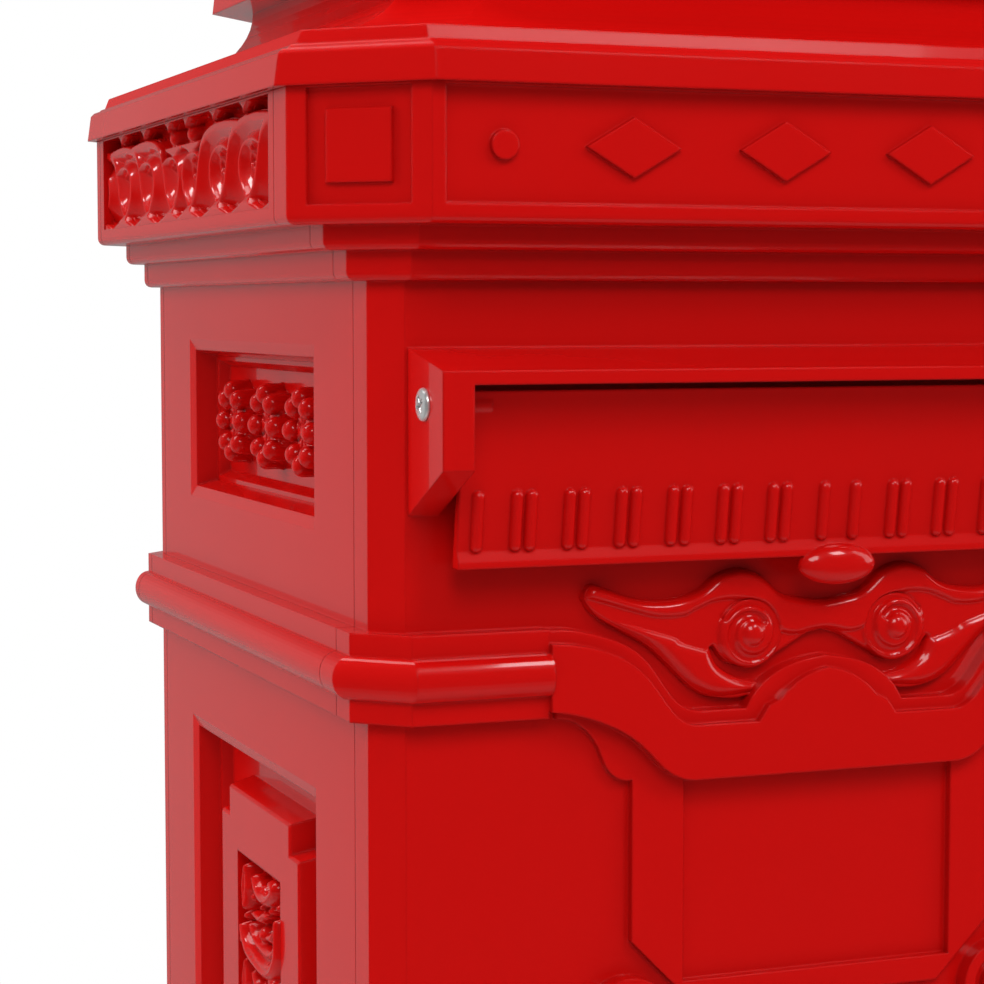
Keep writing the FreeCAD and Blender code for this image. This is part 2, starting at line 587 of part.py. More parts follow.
def hood_wall(s, inset, top_drop, floor):
    """Side view of the hood, or of its hollow, swept across the front."""
    top = s.hood_height - top_drop
    reach = s.front - s.hood_out - (ROOT if floor else 0.0)
    front_top = top - s.hood_fall
    if floor:
        corners = ((s.front, top), (reach, front_top), (reach, floor), (s.front, floor))
    else:
        cheek = front_top - s.cheek_front
        corners = ((s.front + ROOT, top), (s.front, top), (reach, front_top), (reach, cheek),
                   (s.front, cheek - s.cheek_slant), (s.front + ROOT, cheek - s.cheek_slant))
    half = s.hood_width / 2 - inset
    edges = straight(corners + corners[:1], lambda y, z: Vector(-half, y, z))
    return raised(edges, Vector(2 * half, 0, 0))


def frieze_front(s):
    """Sunk frieze panels of the front casting, and what stands in them."""
    face = s.front - s.frieze_out
    half = s.side - s.corner_cut - s.dot_radius
    sunk = [block((-half, half), (face - ROOT, face + s.frieze_sink), s.sunk_range)]
    added = []
    root = face + s.frieze_sink + ROOT
    relief = Vector(0, -s.lozenge_out - ROOT, 0)
    for x in (-s.dot_apart / 2, s.dot_apart / 2):
        spot = Vector(x, root, s.frieze_middle)
        added.append(Part.makeCylinder(s.dot_radius, relief.Length, spot, relief))
    half_x, half_z = s.lozenge_width / 2, s.lozenge_rise / 2
    for k in range(LOZENGES):
        middle = (k - (LOZENGES - 1) / 2) * s.lozenge_pitch
        corners = ((middle - half_x, 0), (middle, half_z), (middle + half_x, 0), (middle, -half_z))
        edges = straight(corners + corners[:1], lambda x, up: Vector(x, root, s.frieze_middle + up))
        added.append(raised(edges, relief))
    square = block((-s.square_width / 2, s.square_width / 2), (-ROOT, s.square_sink),
                   (-s.sunk_rise / 2, s.sunk_rise / 2))
    field = block((-s.square_field / 2, s.square_field / 2), (0, s.square_sink + ROOT),
                  (-s.square_field / 2, s.square_field / 2))
    cant = (s.corner_cut + s.frieze_out) / 2
    for turn, x in ((-45.0, -1), (45.0, 1)):
        spot = Placement(Vector(x * (s.side + s.frieze_out - cant), face + cant, s.frieze_middle),
                         Rotation(Vector(0, 0, 1), turn))
        for solid, group in ((square, sunk), (field, added)):
            copy = solid.copy()
            copy.Placement = spot
            group.append(copy)
    return sunk, added


def screw_shape(s, grip):
    """A screw along +Z from under its head: head below zero, thread above."""
    head = Part.makeCylinder(s.screw_head, s.screw_head_rise, Vector(0, 0, -s.screw_head_rise))
    return head.fuse(Part.makeCylinder(s.screw_radius, grip))


def lip_screw_places(s, out, height):
    """Where a lip is screwed to the castings, and which way each screw points."""
    x, y = s.side + out - s.lip_wall, s.back + out - s.lip_wall
    spots = []
    for sign in (-1, 1):
        spots.append((Vector(sign * s.lip_screw_front, -y, height), Vector(0, -1, 0)))
        spots.append((Vector(sign * s.lip_screw_front, y, height), Vector(0, 1, 0)))
        spots.append((Vector(-x, sign * s.lip_screw_side, height), Vector(-1, 0, 0)))
        spots.append((Vector(x, sign * s.lip_screw_side, height), Vector(1, 0, 0)))
    return spots


def angle_screw_places(s):
    """Where the corner angles are screwed to the castings, and which way each screw points."""
    x, y = s.side - s.wall - s.angle_thick, s.back - s.wall - s.angle_thick
    leg_x = s.side - s.wall - s.angle_leg + s.angle_screw_inset
    leg_y = s.back - s.wall - s.angle_side_leg + s.angle_screw_inset
    middle = (s.lip_bottom + s.lip_rise + s.angle_top) / 2
    spots = []
    for height in (middle - s.angle_screw_step, middle, middle + s.angle_screw_step):
        for sx in (-1, 1):
            for sy in (-1, 1):
                spots.append((Vector(sx * leg_x, sy * y, height), Vector(0, sy, 0)))
                spots.append((Vector(sx * x, sy * leg_y, height), Vector(sx, 0, 0)))
    return spots


def rail_screw_places(s):
    """Where the shelf rails are screwed to the side castings, and which way each screw points."""
    x = s.side - s.wall - s.angle_thick
    height = s.shelf_height - s.shelf_thick - s.rail_leg / 2
    return [(Vector(sx * x, sy * s.lip_screw_side, height), Vector(sx, 0, 0))
            for sx in (-1, 1) for sy in (-1, 1)]


def at_places(shape, spots):
    """Copies of a shape that points along +Z, one at each place and direction."""
    copies = []
    for spot, along in spots:
        copy = shape.copy()
        copy.Placement = Placement(spot, Rotation(Vector(0, 0, 1), along))
        copies.append(copy)
    return copies


def side_point(s, depth):
    """Turn a point of the left side, back and up, into a point at a depth behind the side face."""
    return lambda y, z: Vector(-s.side + depth, y, z)


def recess(s, y_range, z_range):
    """A recess of the left side with a sloping rim and two leaning walls, and the box that backs it."""
    back = block((-s.side + s.wall / 2, -s.side + s.recess_depth + s.wall),
                 (y_range[0] - s.wall, y_range[1] + s.wall), (z_range[0] - s.wall, z_range[1] + s.wall))
    outer = s.recess_slope + s.recess_lean
    inner = outer + s.recess_step
    rings = []
    for depth, inset in ((-ROOT, 0.0), (0.0, 0.0), (s.recess_slope_depth, s.recess_slope),
                         (s.recess_step_depth, outer), (s.recess_step_depth, inner),
                         (s.recess_depth, inner + s.recess_lean)):
        y_low, y_high = y_range[0] + inset, y_range[1] - inset
        z_low, z_high = z_range[0] + inset, z_range[1] - inset
        corners = ((y_low, z_low), (y_high, z_low), (y_high, z_high), (y_low, z_high))
        rings.append([Vector(-s.side + depth, y, z) for y, z in corners])
    return back, stacked(rings)


def rosette(s, y, z):
    """Eight tall beads round a lower one, on the floor of the upper side recess."""
    floor = -s.side + s.recess_depth
    out = Vector(-1, 0, 0)
    stem = s.rosette_out - s.bead_radius
    middle = Vector(floor, y, z)
    solids = [Part.makeCylinder(s.rosette_radius, stem / 2 + ROOT, middle - out * ROOT, out),
              Part.makeSphere(s.bead_radius, middle + out * (stem / 2))]
    for k in range(ROSETTE_BEADS):
        turn = 2 * math.pi * k / ROSETTE_BEADS
        spot = middle + Vector(0, math.cos(turn), math.sin(turn)) * s.rosette_radius
        solids.append(Part.makeCylinder(s.bead_radius, stem + ROOT, spot - out * ROOT, out))
        solids.append(Part.makeSphere(s.bead_radius, spot + out * stem))
    return solids[0].fuse(solids[1:])


def scroll(s, floor, y, z):
    """One scroll of the sunk panel: a crescent that opens upwards, a leaf above it and beads."""
    at = lambda across, up: Vector(floor + ROOT, y - across, z + up)
    sweep = Vector(-s.scroll_out - ROOT, 0, 0)
    solids = [raised(curve(CRESCENT_UNDER, at) + curve(CRESCENT_OVER, at), sweep),
              raised(curve(LEAF_SIDE, at) + curve(LEAF_BACK, at), sweep)]
    for across, up in SCROLL_BEADS:
        solids.append(Part.makeSphere(s.scroll_bead, Vector(floor, y - across, z + up)))
    return solids


def tablet_ring(s, y_range, z_range, grow, depth):
    """Corners of the eared tablet at one depth, grown all round."""
    near, far, low, high = y_range[0] - grow, y_range[1] + grow, z_range[0] - grow, z_range[1] + grow
    ear = s.tablet_ear
    bottom = ((near, low + ear), (near + ear, low + ear), (near + ear, low),
              (far - ear, low), (far - ear, low + ear), (far, low + ear))
    corners = bottom + tuple((y, low + high - z) for y, z in reversed(bottom))
    return [side_point(s, depth)(y, z) for y, z in corners]


def tablet(s, y_range):
    """The eared tablet in the lower side recess, with leaning sides, a sunk panel and scrolls."""
    low, high = s.recess_bottom + s.tablet_margin, s.recess_top - s.tablet_margin
    near, far = y_range[0] + s.tablet_side, y_range[1] - s.tablet_side
    rows = ((s.recess_depth + ROOT, s.tablet_lean), (s.tablet_sink + s.tablet_edge, s.tablet_edge),
            (s.tablet_sink, 0.0))
    solid = stacked([tablet_ring(s, (near, far), (low, high), grow, depth) for depth, grow in rows])
    sunk_floor = -s.side + s.tablet_sink + s.sunk_depth
    sunk_low, sunk_high = low + s.sunk_margin, high - s.sunk_margin
    solid = solid.cut(block((-s.side, sunk_floor), (near + s.sunk_side, far - s.sunk_side),
                            (sunk_low, sunk_high)))
    count = int((sunk_high - sunk_low) // s.scroll_pitch)
    start = (sunk_low + sunk_high - (count - 1) * s.scroll_pitch) / 2
    scrolls = []
    for k in range(count):
        scrolls += scroll(s, sunk_floor, s.side_middle, start + k * s.scroll_pitch)
    return solid.fuse(scrolls)


def wave_frieze(s):
    """The running wave scroll of the side frieze: its sunk panel and the waves, turned about the middle."""
    face = -s.side - s.frieze_out
    y_range = (s.front_seam + s.frieze_margin, s.back_seam - s.frieze_margin)
    sunk = block((face - ROOT, face + s.wave_sink), y_range, s.sunk_range)
    floor = face + s.wave_sink
    out = Vector(-1, 0, 0)
    solids = []
    for side in (-1, 1):
        for k in range(WAVES + 1):
            across = s.wave_first + k * s.wave_pitch
            at = lambda u, up: Vector(floor + ROOT, s.side_middle + side * (across + u), s.frieze_middle + up)
            eye = Vector(floor, s.side_middle + side * across, s.frieze_middle - s.wave_eye_drop)
            outlines = [straight(corners + corners[:1], at) for corners in (WAVE_SPANDREL, WAVE_CUSP)]
            strips = [(EYE_INSIDE, EYE_OUTSIDE)]
            if k < WAVES:
                solids.append(volute(eye, s.wave_eye, s.wave_eye_out, out))
            if k > 0:
                strips.append((REAR_BACK, REAR_FRONT))
            for there, back in strips:
                outlines.append(curve(there, at) + straight((there[-1], back[0]), at)
                                + curve(back, at) + straight((back[-1], there[0]), at))
            solids += [raised(outline, out * (s.wave_out + ROOT)) for outline in outlines]
        ball = Vector(floor, s.side_middle + side * s.wave_first, s.frieze_middle + s.ball_rise)
        solids.append(Part.makeSphere(s.ball_radius, ball + out * (s.ball_radius / 2)))
    frame = block((face - ROOT, floor + ROOT), y_range, s.sunk_range)
    return sunk, [solid.common(frame) for solid in solids]


def front_shape(s, shell):
    """The front casting: shell, hood, slot, door opening, hinge lugs and ornament."""
    belt_gap = block((-s.band_reach, s.band_reach), (-FAR, s.front), (s.plinth_height, s.cornice_height))
    region = block((-FAR, FAR), (-FAR, s.front_seam - s.seam_gap / 2), (0, FAR))
    hood = hood_wall(s, 0.0, 0.0, None)
    hollow = hood_wall(s, s.hood_cheek, s.hood_lintel, s.belt_height)
    sunk, added = frieze_front(s)
    solid = shell.cut(belt_gap).common(region).cut(sunk)
    solid = solid.fuse(added + [hood.cut(hollow)] + front_ornament(s) + hinge_lugs(s))
    through = (s.front - s.wall, s.front + 2 * s.wall)
    slot = block((-s.slot_width / 2, s.slot_width / 2), through,
                 (s.slot_height - s.slot_rise / 2, s.slot_height + s.slot_rise / 2))
    door_half = s.door_width / 2 - s.door_lap
    doorway = block((-door_half, door_half), through, (s.door_bottom + s.door_lap, s.door_top - s.door_lap))
    return solid.cut([slot, doorway] + pivot_holes(s) + pin_holes(s)).removeSplitter()


def pivot_holes(s):
    """Holes for the flap's pivot screws in the hood's cheeks."""
    spot = Vector(-s.hood_width / 2 - ROOT, s.front - s.pivot_out, s.pivot_height)
    return both_sides(Part.makeCylinder(s.screw_radius, s.hood_cheek + 2 * ROOT, spot, Vector(1, 0, 0)))


def hinge_heights(s):
    """Middles of the two hinges."""
    return (s.door_bottom + s.hinge_inset, s.door_top - s.hinge_inset)


def hinge_lugs(s):
    """Lugs on the front casting, above and below each door knuckle."""
    lugs = []
    step = s.knuckle_length / 2 + s.hinge_gap
    for height in hinge_heights(s):
        for low in (height + step, height - step - s.lug_length):
            eye = Part.makeCylinder(s.knuckle_radius, s.lug_length, Vector(s.hinge_x, s.hinge_y, low))
            stem = block((s.hinge_x - s.knuckle_radius, s.hinge_x + s.knuckle_radius),
                         (s.hinge_y, s.front + ROOT), (low, low + s.lug_length))
            lugs.append(eye.fuse(stem))
    return lugs


def pin_holes(s):
    """Holes for the hinge pins in the lugs."""
    reach = s.knuckle_length + 2 * s.hinge_gap + 2 * s.lug_length
    return [Part.makeCylinder(s.pin_radius, reach, Vector(s.hinge_x, s.hinge_y, height - reach / 2))
            for height in hinge_heights(s)]


def side_shape(s, shell):
    """The left side casting: shell, recesses, rosettes, tablet and wave scroll."""
    gap = s.seam_gap / 2
    region = block((-FAR, -s.side / 2), (s.front_seam + gap, s.back_seam - gap), (0, FAR))
    y_range = (s.front_seam + s.recess_margin, s.back_seam - s.recess_margin)
    window_back, window = recess(s, y_range, (s.window_top - s.window_rise, s.window_top))
    lower_back, lower = recess(s, y_range, (s.recess_bottom, s.recess_top))
    sunk, waves = wave_frieze(s)
    solid = shell.common(region).fuse([window_back, lower_back]).cut([window, lower, sunk])
    window_middle = s.window_top - s.window_rise / 2
    rosettes = [rosette(s, s.side_middle + k * s.rosette_pitch, window_middle) for k in (-1, 0, 1)]
    return solid.fuse(rosettes + waves + [tablet(s, y_range)]).removeSplitter()


def back_shape(s, shell):
    """The back casting: plain, with the same mouldings."""
    region = block((-FAR, FAR), (s.back_seam + s.seam_gap / 2, FAR), (0, FAR))
    return shell.common(region)


def plinth_shape(s):
    """The hollow plinth: block, step and neck, a flange with anchor holes, and a lip for the castings."""
    step_low = s.plinth_block + s.edge_round
    step_high = (s.plinth_block + s.plinth_height) / 2
    lip_top = s.plinth_height + s.lip_rise
    outside = moulded(s, [(0, s.plinth_out), (s.plinth_block, s.plinth_out),
                          (step_low, s.plinth_out - s.edge_round), (step_low, s.plinth_step),
                          (step_high, s.plinth_step), (s.plinth_height, s.edge_round),
                          (s.plinth_height, -s.wall), (lip_top, -s.wall)])
    wall = s.plinth_wall
    lip_in = -s.wall - s.lip_wall
    inside = moulded(s, [(wall, s.plinth_out - wall), (s.plinth_block - wall, s.plinth_out - wall),
                         (s.plinth_block - wall, s.plinth_step - wall),
                         (step_high - wall / 2, s.plinth_step - wall),
                         (s.plinth_height - wall, lip_in), (lip_top + ROOT, lip_in)])
    half_x, half_y = s.side + s.plinth_out - s.foot_width, s.back + s.plinth_out - s.foot_width
    opening = block((-half_x, half_x), (-half_y, half_y), (-ROOT, wall + ROOT))
    spots = [Vector(sx * s.foot_hole_x / 2, sy * s.foot_hole_y / 2, -ROOT)
             for sx in (-1, 1) for sy in (-1, 1)]
    holes = [Part.makeCylinder(s.foot_hole, wall + 2 * ROOT, spot) for spot in spots]
    return outside.cut([inside, opening] + holes)


def roof_levels(s, inset, drop):
    """Rings of the hollow neck: inset from its outer skin, and lowered."""
    rings = []
    foot = s.corner_cut + s.neck_out
    for k in range(ROUND_STEPS + 1):
        turn = math.pi / 2 * k / ROUND_STEPS
        out = s.neck_out - inset - s.neck_run * math.sin(turn)
        corner = foot - s.neck_corner_loss * math.sin(turn) - inset / 2
        height = s.neck_top - drop - s.neck_rise * math.cos(turn)
        rings.append(canted(s.side + out, s.back + out, corner, height))
    return rings


def cap_levels(s, out, low, high, corner, inset):
    """Rings of the hipped cap, from its foot to its flat top: inset is how far inside the outer skin."""
    return [canted(s.side + out, s.back + out, corner, low),
            canted(s.cap_flat_width / 2 - inset, s.cap_flat_depth / 2 - inset, s.cap_flat_corner, high)]


def roof_shape(s):
    """The roof: slab with a skirt and stepped rim, hollow neck, upper slab and hipped cap, hollow inside."""
    skirt_low = s.panel_top - s.skirt_drop
    slab_top = skirt_low + s.slab_rise
    rim = s.edge_round / 2
    rows = [(skirt_low, 0), (slab_top, 1), (slab_top + rim, 2), (slab_top + rim, 3),
            (slab_top + 2 * rim, 4), (slab_top + 2 * rim, 5)]
    rings = [grown(s, s.skirt_out - steps * rim, height) for height, steps in rows]
    rings += roof_levels(s, 0.0, 0.0)
    neck_out = s.neck_out - s.neck_run
    eave_out = neck_out + s.upper_slab_out
    corner = s.corner_cut + s.neck_out
    slab_high = s.neck_top + s.upper_slab_rise
    rings.append(canted(s.side + eave_out, s.back + eave_out, corner, s.neck_top))
    rings.append(canted(s.side + eave_out - rim, s.back + eave_out - rim, corner - rim, slab_high))
    cap_out = eave_out - 2 * s.edge_round
    cap_top = slab_high + s.cap_rise
    rings += cap_levels(s, cap_out, slab_high + rim, cap_top, corner - s.edge_round, 0.0)
    room = s.frieze_in
    skin = s.roof_wall + s.frieze_wall / 2
    hollow = [grown(s, room, s.panel_top - ROOT), grown(s, room, slab_top - rim)]
    hollow += roof_levels(s, skin, s.roof_wall / 2)[1:]
    hollow += cap_levels(s, neck_out - skin, slab_high - s.roof_wall, cap_top - s.roof_wall,
                         corner - 2 * s.roof_wall, s.roof_wall)
    lap = s.frieze_out + s.skirt_gap
    frieze_room = moulded(s, [(skirt_low - ROOT, lap), (s.panel_top, lap)])
    lip_out = moulded(s, [(s.roof_lip_bottom, room), (s.panel_top + ROOT, room)])
    lip_in = moulded(s, [(s.roof_lip_bottom - ROOT, room - s.lip_wall), (slab_top - rim, room - s.lip_wall)])
    solid = stacked(rings).cut([stacked(hollow), frieze_room])
    return solid.fuse(lip_out.cut(lip_in)).removeSplitter()


def build_castings(s):
    """Castings of the pillar: four panels, plinth and roof, before their screw holes."""
    shell = pillar_outside(s).cut(pillar_inside(s))
    left = side_shape(s, shell)
    return {
        "front_panel": front_shape(s, shell),
        "left_side_panel": left,
        "right_side_panel": left.mirror(Vector(), Vector(1, 0, 0)),
        "back_panel": back_shape(s, shell),
        "base_plinth": plinth_shape(s),
        "roof": roof_shape(s),
    }


def build_flap(doc, s):
    """The flap: leaning plate with a rim, ribs, finger tab and pivot bosses with their bores."""
    front = "(-body_depth/2)"
    face = front + " - flap_bottom_out"
    lean = "(flap_top_out - flap_bottom_out)/(flap_top - flap_bottom)"
    plate = padded(doc, "FlapPlate", "YZ_Plane", (
        (front + " - flap_top_out", "flap_top"),
        (front + " - flap_top_out + flap_thick", "flap_top"),
        (face + " + flap_thick", "flap_bottom"),
        (face + " - flap_lip", "flap_bottom"),
        (face + " - flap_lip", "flap_bottom + flap_lip_edge"),
        (face + " - flap_lip_rise*" + lean, "flap_bottom + flap_lip_rise")), "flap_width", both_ways=True)
    tab = doc.addObject("Part::Ellipsoid", "FlapTab")
    for prop, expression in (("Radius1", "(tab_drop + tab_rise)/2"), ("Radius2", "tab_half"),
                             ("Radius3", "tab_out")):
        bind(tab, prop, expression)
    place(tab, ("0", face + " - flap_lip/2", "flap_bottom + (tab_rise - tab_drop)/2"))
    pivot = (front + " - pivot_out", "pivot_height")
    along = Vector(1, 0, 0)
    bosses, bores = [], []
    for name, foot in (("Left", "-flap_width/2"), ("Right", "flap_width/2 - pivot_boss_length")):
        spot = (foot,) + pivot
        bosses.append(rod(doc, name + "Boss", "pivot_boss", "pivot_boss_length", spot, along))
        bores.append(rod(doc, name + "Bore", "screw_radius + run_fit", "pivot_boss_length", spot, along))
    ribs = feature(doc, "FlapRibs", Part.Compound(flap_ribs(s)))
    whole = fuse(doc, "FlapWhole", [plate, tab, ribs] + bosses)
    return cut(doc, "mail_flap", whole, fuse(doc, "FlapBores", bores))


def flap_ribs(s):
    """Upright half-round ribs along the flap's foot, in pairs either side of two middle ones."""
    lean = (s.flap_top_out - s.flap_bottom_out) / (s.flap_top - s.flap_bottom)
    places = [s.rib_middle / 2]
    pair = s.rib_first
    while pair < s.flap_width / 2:
        places += [pair - s.rib_pair / 2, pair + s.rib_pair / 2]
        pair += s.rib_pitch
    low = s.flap_bottom + s.rib_rise
    heights = (low + s.rib_radius, low + s.rib_height - s.rib_radius)
    ribs = []
    for x in places:
        if x + 2 * s.rib_radius > s.flap_width / 2:
            continue
        foot, head = (Vector(x, s.front - s.flap_bottom_out - lean * (z - s.flap_bottom), z) for z in heights)
        ends = [Part.makeSphere(s.rib_radius, spot) for spot in (foot, head)]
        stem = Part.makeCylinder(s.rib_radius, (head - foot).Length, foot, head - foot)
        ribs += both_sides(stem.fuse(ends))
    return ribs


def build_pivot_screws(doc):
    """Pan-head screws that the flap hangs on, one through each cheek."""
    tip = "hood_cheek + pivot_boss_length"
    corners = (("0", "-pivot_head_rise"), ("pivot_head_flat", "-pivot_head_rise"),
               ("pivot_head", "-pivot_head_edge"), ("pivot_head", "0"), ("screw_radius", "0"),
               ("screw_radius", tip), ("0", tip))
    spot = ("-hood_width/2", "-body_depth/2 - pivot_out", "pivot_height")
    screw = turned(doc, "PivotScrew", corners, spot, Vector(1, 0, 0))
    other = doc.addObject("Part::Mirroring", "PivotScrewRight")
    other.Source = screw
    other.Normal = Vector(1, 0, 0)
    pair = doc.addObject("Part::Compound", "flap_pivot_screws")
    pair.Links = [screw, other]
    return pair


def build_door(doc):
    """The door: plate with a raised field, two bored knuckles, and the lock's hole."""
    back = "(-body_depth/2 - door_gap)"
    face = back + " - door_thick - door_field_out"
    plate = box(doc, "DoorPlate", ("door_width", "door_thick", "door_rise"),
                ("-door_width/2", back + " - door_thick", "door_bottom"))
    field = box(doc, "DoorField",
                ("door_width - 2*door_field", "door_field_out + door_thick/2", "door_rise - 2*door_field"),
                ("-door_width/2 + door_field", face, "door_bottom + door_field"))
    axis = ("door_width/2 + knuckle_radius + hinge_gap", "-body_depth/2 - knuckle_radius - hinge_gap")
    solids, bores = [plate, field], []
    up = Vector(0, 0, 1)
    for name, middle in HINGES:
        low = middle + " - knuckle_length/2"
        solids.append(rod(doc, name + "Knuckle", "knuckle_radius", "knuckle_length", axis + (low,), up))
        solids.append(box(doc, name + "Arm",
                          ("knuckle_radius*2", "door_thick - hinge_gap", "knuckle_length"),
                          (axis[0] + " - knuckle_radius*2", back + " - door_thick", low)))
        bores.append(rod(doc, name + "KnuckleBore", "pin_radius + run_fit", "knuckle_length",
                         axis + (low,), up))
    lock_spot = ("-door_width/2 + lock_inset", face, "door_bottom + door_rise/2")
    bores.append(rod(doc, "LockHole", "lock_radius", "door_thick + 2*door_field_out", lock_spot,
                     Vector(0, 1, 0)))
    return cut(doc, "access_door", fuse(doc, "DoorWhole", solids), fuse(doc, "DoorBores", bores))


def build_hinge_pins(doc):
    """Headed pins, dropped through the lugs and knuckles from above."""
    reach = "(knuckle_length/2 + hinge_gap + lug_length)"
    top = reach + " + pin_head_rise"
    corners = (("0", top), ("0", "-" + reach), ("pin_radius", "-" + reach), ("pin_radius", reach),
               ("pin_head", reach), ("pin_head", top))
    axis = ("door_width/2 + knuckle_radius + hinge_gap", "-body_depth/2 - knuckle_radius - hinge_gap")
    pair = doc.addObject("Part::Compound", "hinge_pins")
    pair.Links = [turned(doc, name + "Pin", corners, axis + (middle,), Vector(0, 0, 1))
                  for name, middle in HINGES]
    return pair


def build_lock(doc):
    """Cam lock: flanged barrel, nut, turning plug with a key slot, cam and cam screw."""
    face = "(-body_depth/2 - door_gap - door_thick - door_field_out)"
    x, height = "-door_width/2 + lock_inset", "door_bottom + door_rise/2"
    back = Vector(0, 1, 0)
    length = "(lock_length + door_field_out)"
    bore = "plug_radius + run_fit"
    front = face + " - lock_flange_rise"
    barrel_corners = ((bore, "-lock_flange_rise"), ("lock_flange_flat", "-lock_flange_rise"),
                      ("lock_flange", "-lock_flange_edge"), ("lock_flange", "0"), ("lock_radius", "0"),
                      ("lock_radius", length), (bore, length))
    barrel = turned(doc, "lock_body", barrel_corners, (x, face, height), back)
    hexagon = doc.addObject("Part::Prism", "NutBlank")
    hexagon.Polygon = 6
    hexagon.Placement = Placement(Vector(), Rotation(Vector(0, 0, 1), back))
    bind(hexagon, "Circumradius", "nut_width/2")
    bind(hexagon, "Height", "nut_rise")
    behind = (x, "-body_depth/2 - door_gap", height)
    place(hexagon, behind)
    nut = cut(doc, "lock_nut", hexagon, rod(doc, "NutBore", "lock_radius", "nut_rise", behind, back))
    cam_foot = face + " + " + length + " + cam_gap"
    plug_blank = rod(doc, "PlugBlank", "plug_radius", length + " + lock_flange_rise + cam_gap",
                     (x, front, height), back)
    keyway = box(doc, "Keyway", ("keyway_width", "keyway_depth", "keyway_length"),
                 (x + " - keyway_width/2", front, height + " - keyway_length/2"))
    thread = rod(doc, "CamThread", "pin_radius", "lock_length",
                 (x, cam_foot + " - lock_length/2", height), back)
    plug = cut(doc, "lock_plug", plug_blank, fuse(doc, "PlugHoles", [keyway, thread]))
    tongue = box(doc, "CamTongue", ("cam_width", "cam_thick", "cam_reach + cam_width/2"),
                 (x + " - cam_width/2", cam_foot, height + " - cam_width/2"))
    cam_hole = rod(doc, "CamHole", "pin_radius", "cam_thick", (x, cam_foot, height), back)
    cam = cut(doc, "lock_cam", tongue, cam_hole)
    tip = "cam_thick + lock_length/2"
    screw_corners = (("0", "-pin_head_rise"), ("pin_head", "-pin_head_rise"), ("pin_head", "0"),
                     ("pin_radius", "0"), ("pin_radius", tip), ("0", tip))
    screw = turned(doc, "lock_cam_screw", screw_corners, (x, cam_foot + " + cam_thick", height),
                   Vector(0, -1, 0))
    return [barrel, nut, plug, cam, screw]


def inward(sign, size):
    """A place inside the castings: an expression of the distance in from the wall of one side."""
    return lambda distance: f"{sign}*({size}/2 - wall - ({distance}))"


def build_angles(doc):
    """Corner angles inside the four corners, before their screw holes."""
    angles = {}
    foot = "plinth_height + lip_rise + hinge_gap"
    for side, sx in (("left", "-1"), ("right", "1")):
        for end, sy in (("front", "-1"), ("back", "1")):
            x, y = inward(sx, "body_width"), inward(sy, "body_depth")
            corners = ((x("angle_corner"), y("0")), (x("angle_leg"), y("0")),
                       (x("angle_leg"), y("angle_thick")), (x("angle_corner"), y("angle_thick")),
                       (x("angle_thick"), y("angle_corner")), (x("angle_thick"), y("angle_side_leg")),
                       (x("0"), y("angle_side_leg")), (x("0"), y("angle_corner")))
            name = f"{end}_{side}_angle"
            angles[name] = padded(doc, name + "_blank", "XY_Plane", corners, f"angle_top - ({foot})",
                                  offset=foot)
    return angles


def build_rails(doc):
    """Angles along the sides that carry the shelf, before their screw holes."""
    rails = {}
    top = "shelf_height - shelf_thick"
    for side, sx in (("left", "-1"), ("right", "1")):
        x = inward(sx, "body_width")
        corners = ((x("0"), top), (x("rail_leg"), top), (x("rail_leg"), top + " - angle_thick"),
                   (x("angle_thick"), top + " - angle_thick"), (x("angle_thick"), top + " - rail_leg"),
                   (x("0"), top + " - rail_leg"))
        rails[side + "_shelf_rail"] = padded(doc, side + "_rail_blank", "XZ_Plane", corners, "rail_length",
                                             both_ways=True)
    return rails


def build_shelf(doc):
    """Folded shelf that the mail falls on, with its back edge turned up."""
    low = "shelf_height - shelf_thick"
    lip = "shelf_height + shelf_edge"
    front = "-body_depth/2 + wall + angle_thick + shelf_room"
    back = "body_depth/2 - wall - angle_thick - shelf_room"
    fold = back + " - shelf_thick"
    corners = ((front, low), (back, low), (back, lip), (fold, lip), (fold, "shelf_height"),
               (front, "shelf_height"))
    width = "body_width - 2*wall - 2*angle_thick - 2*hinge_gap"
    return padded(doc, "mail_shelf", "YZ_Plane", corners, width, both_ways=True)


def main():
    doc = FreeCAD.newDocument("PillarMailbox")
    s = read_sizes(make_sheet(doc))

    nodes = {}
    nodes["mail_flap"] = build_flap(doc, s)
    nodes["flap_pivot_screws"] = build_pivot_screws(doc)
    nodes["access_door"] = build_door(doc)
    nodes["hinge_pins"] = build_hinge_pins(doc)
    for item in build_lock(doc):
        nodes[item.Name] = item
    nodes["mail_shelf"] = build_shelf(doc)
    blanks = {**build_angles(doc), **build_rails(doc)}
    doc.recompute()

    lip_grip, angle_grip = s.lip_wall + s.screw_grip, s.angle_thick + s.screw_grip
    screws = {
        "base_screws": (lip_grip, lip_screw_places(s, -s.wall, s.lip_bottom + s.lip_rise / 2)),
        "roof_screws": (lip_grip, lip_screw_places(s, s.frieze_in, s.roof_lip_bottom + s.lip_rise / 2)),
        "panel_screws": (angle_grip, angle_screw_places(s)),
        "shelf_screws": (angle_grip, rail_screw_places(s)),
    }
    drills = []
    for name, (grip, spots) in screws.items():
        nodes[name] = feature(doc, name, Part.Compound(at_places(screw_shape(s, grip), spots)))
        drills += at_places(Part.makeCylinder(s.screw_radius, grip), spots)
    for name, shape in build_castings(s).items():
        nodes[name] = feature(doc, name, shape.cut(drills))
    holes = feature(doc, "AngleHoles", Part.Compound(drills))
    for name, blank in blanks.items():
        nodes[name] = cut(doc, name, blank, holes)
    doc.recompute()
    export(doc, nodes)


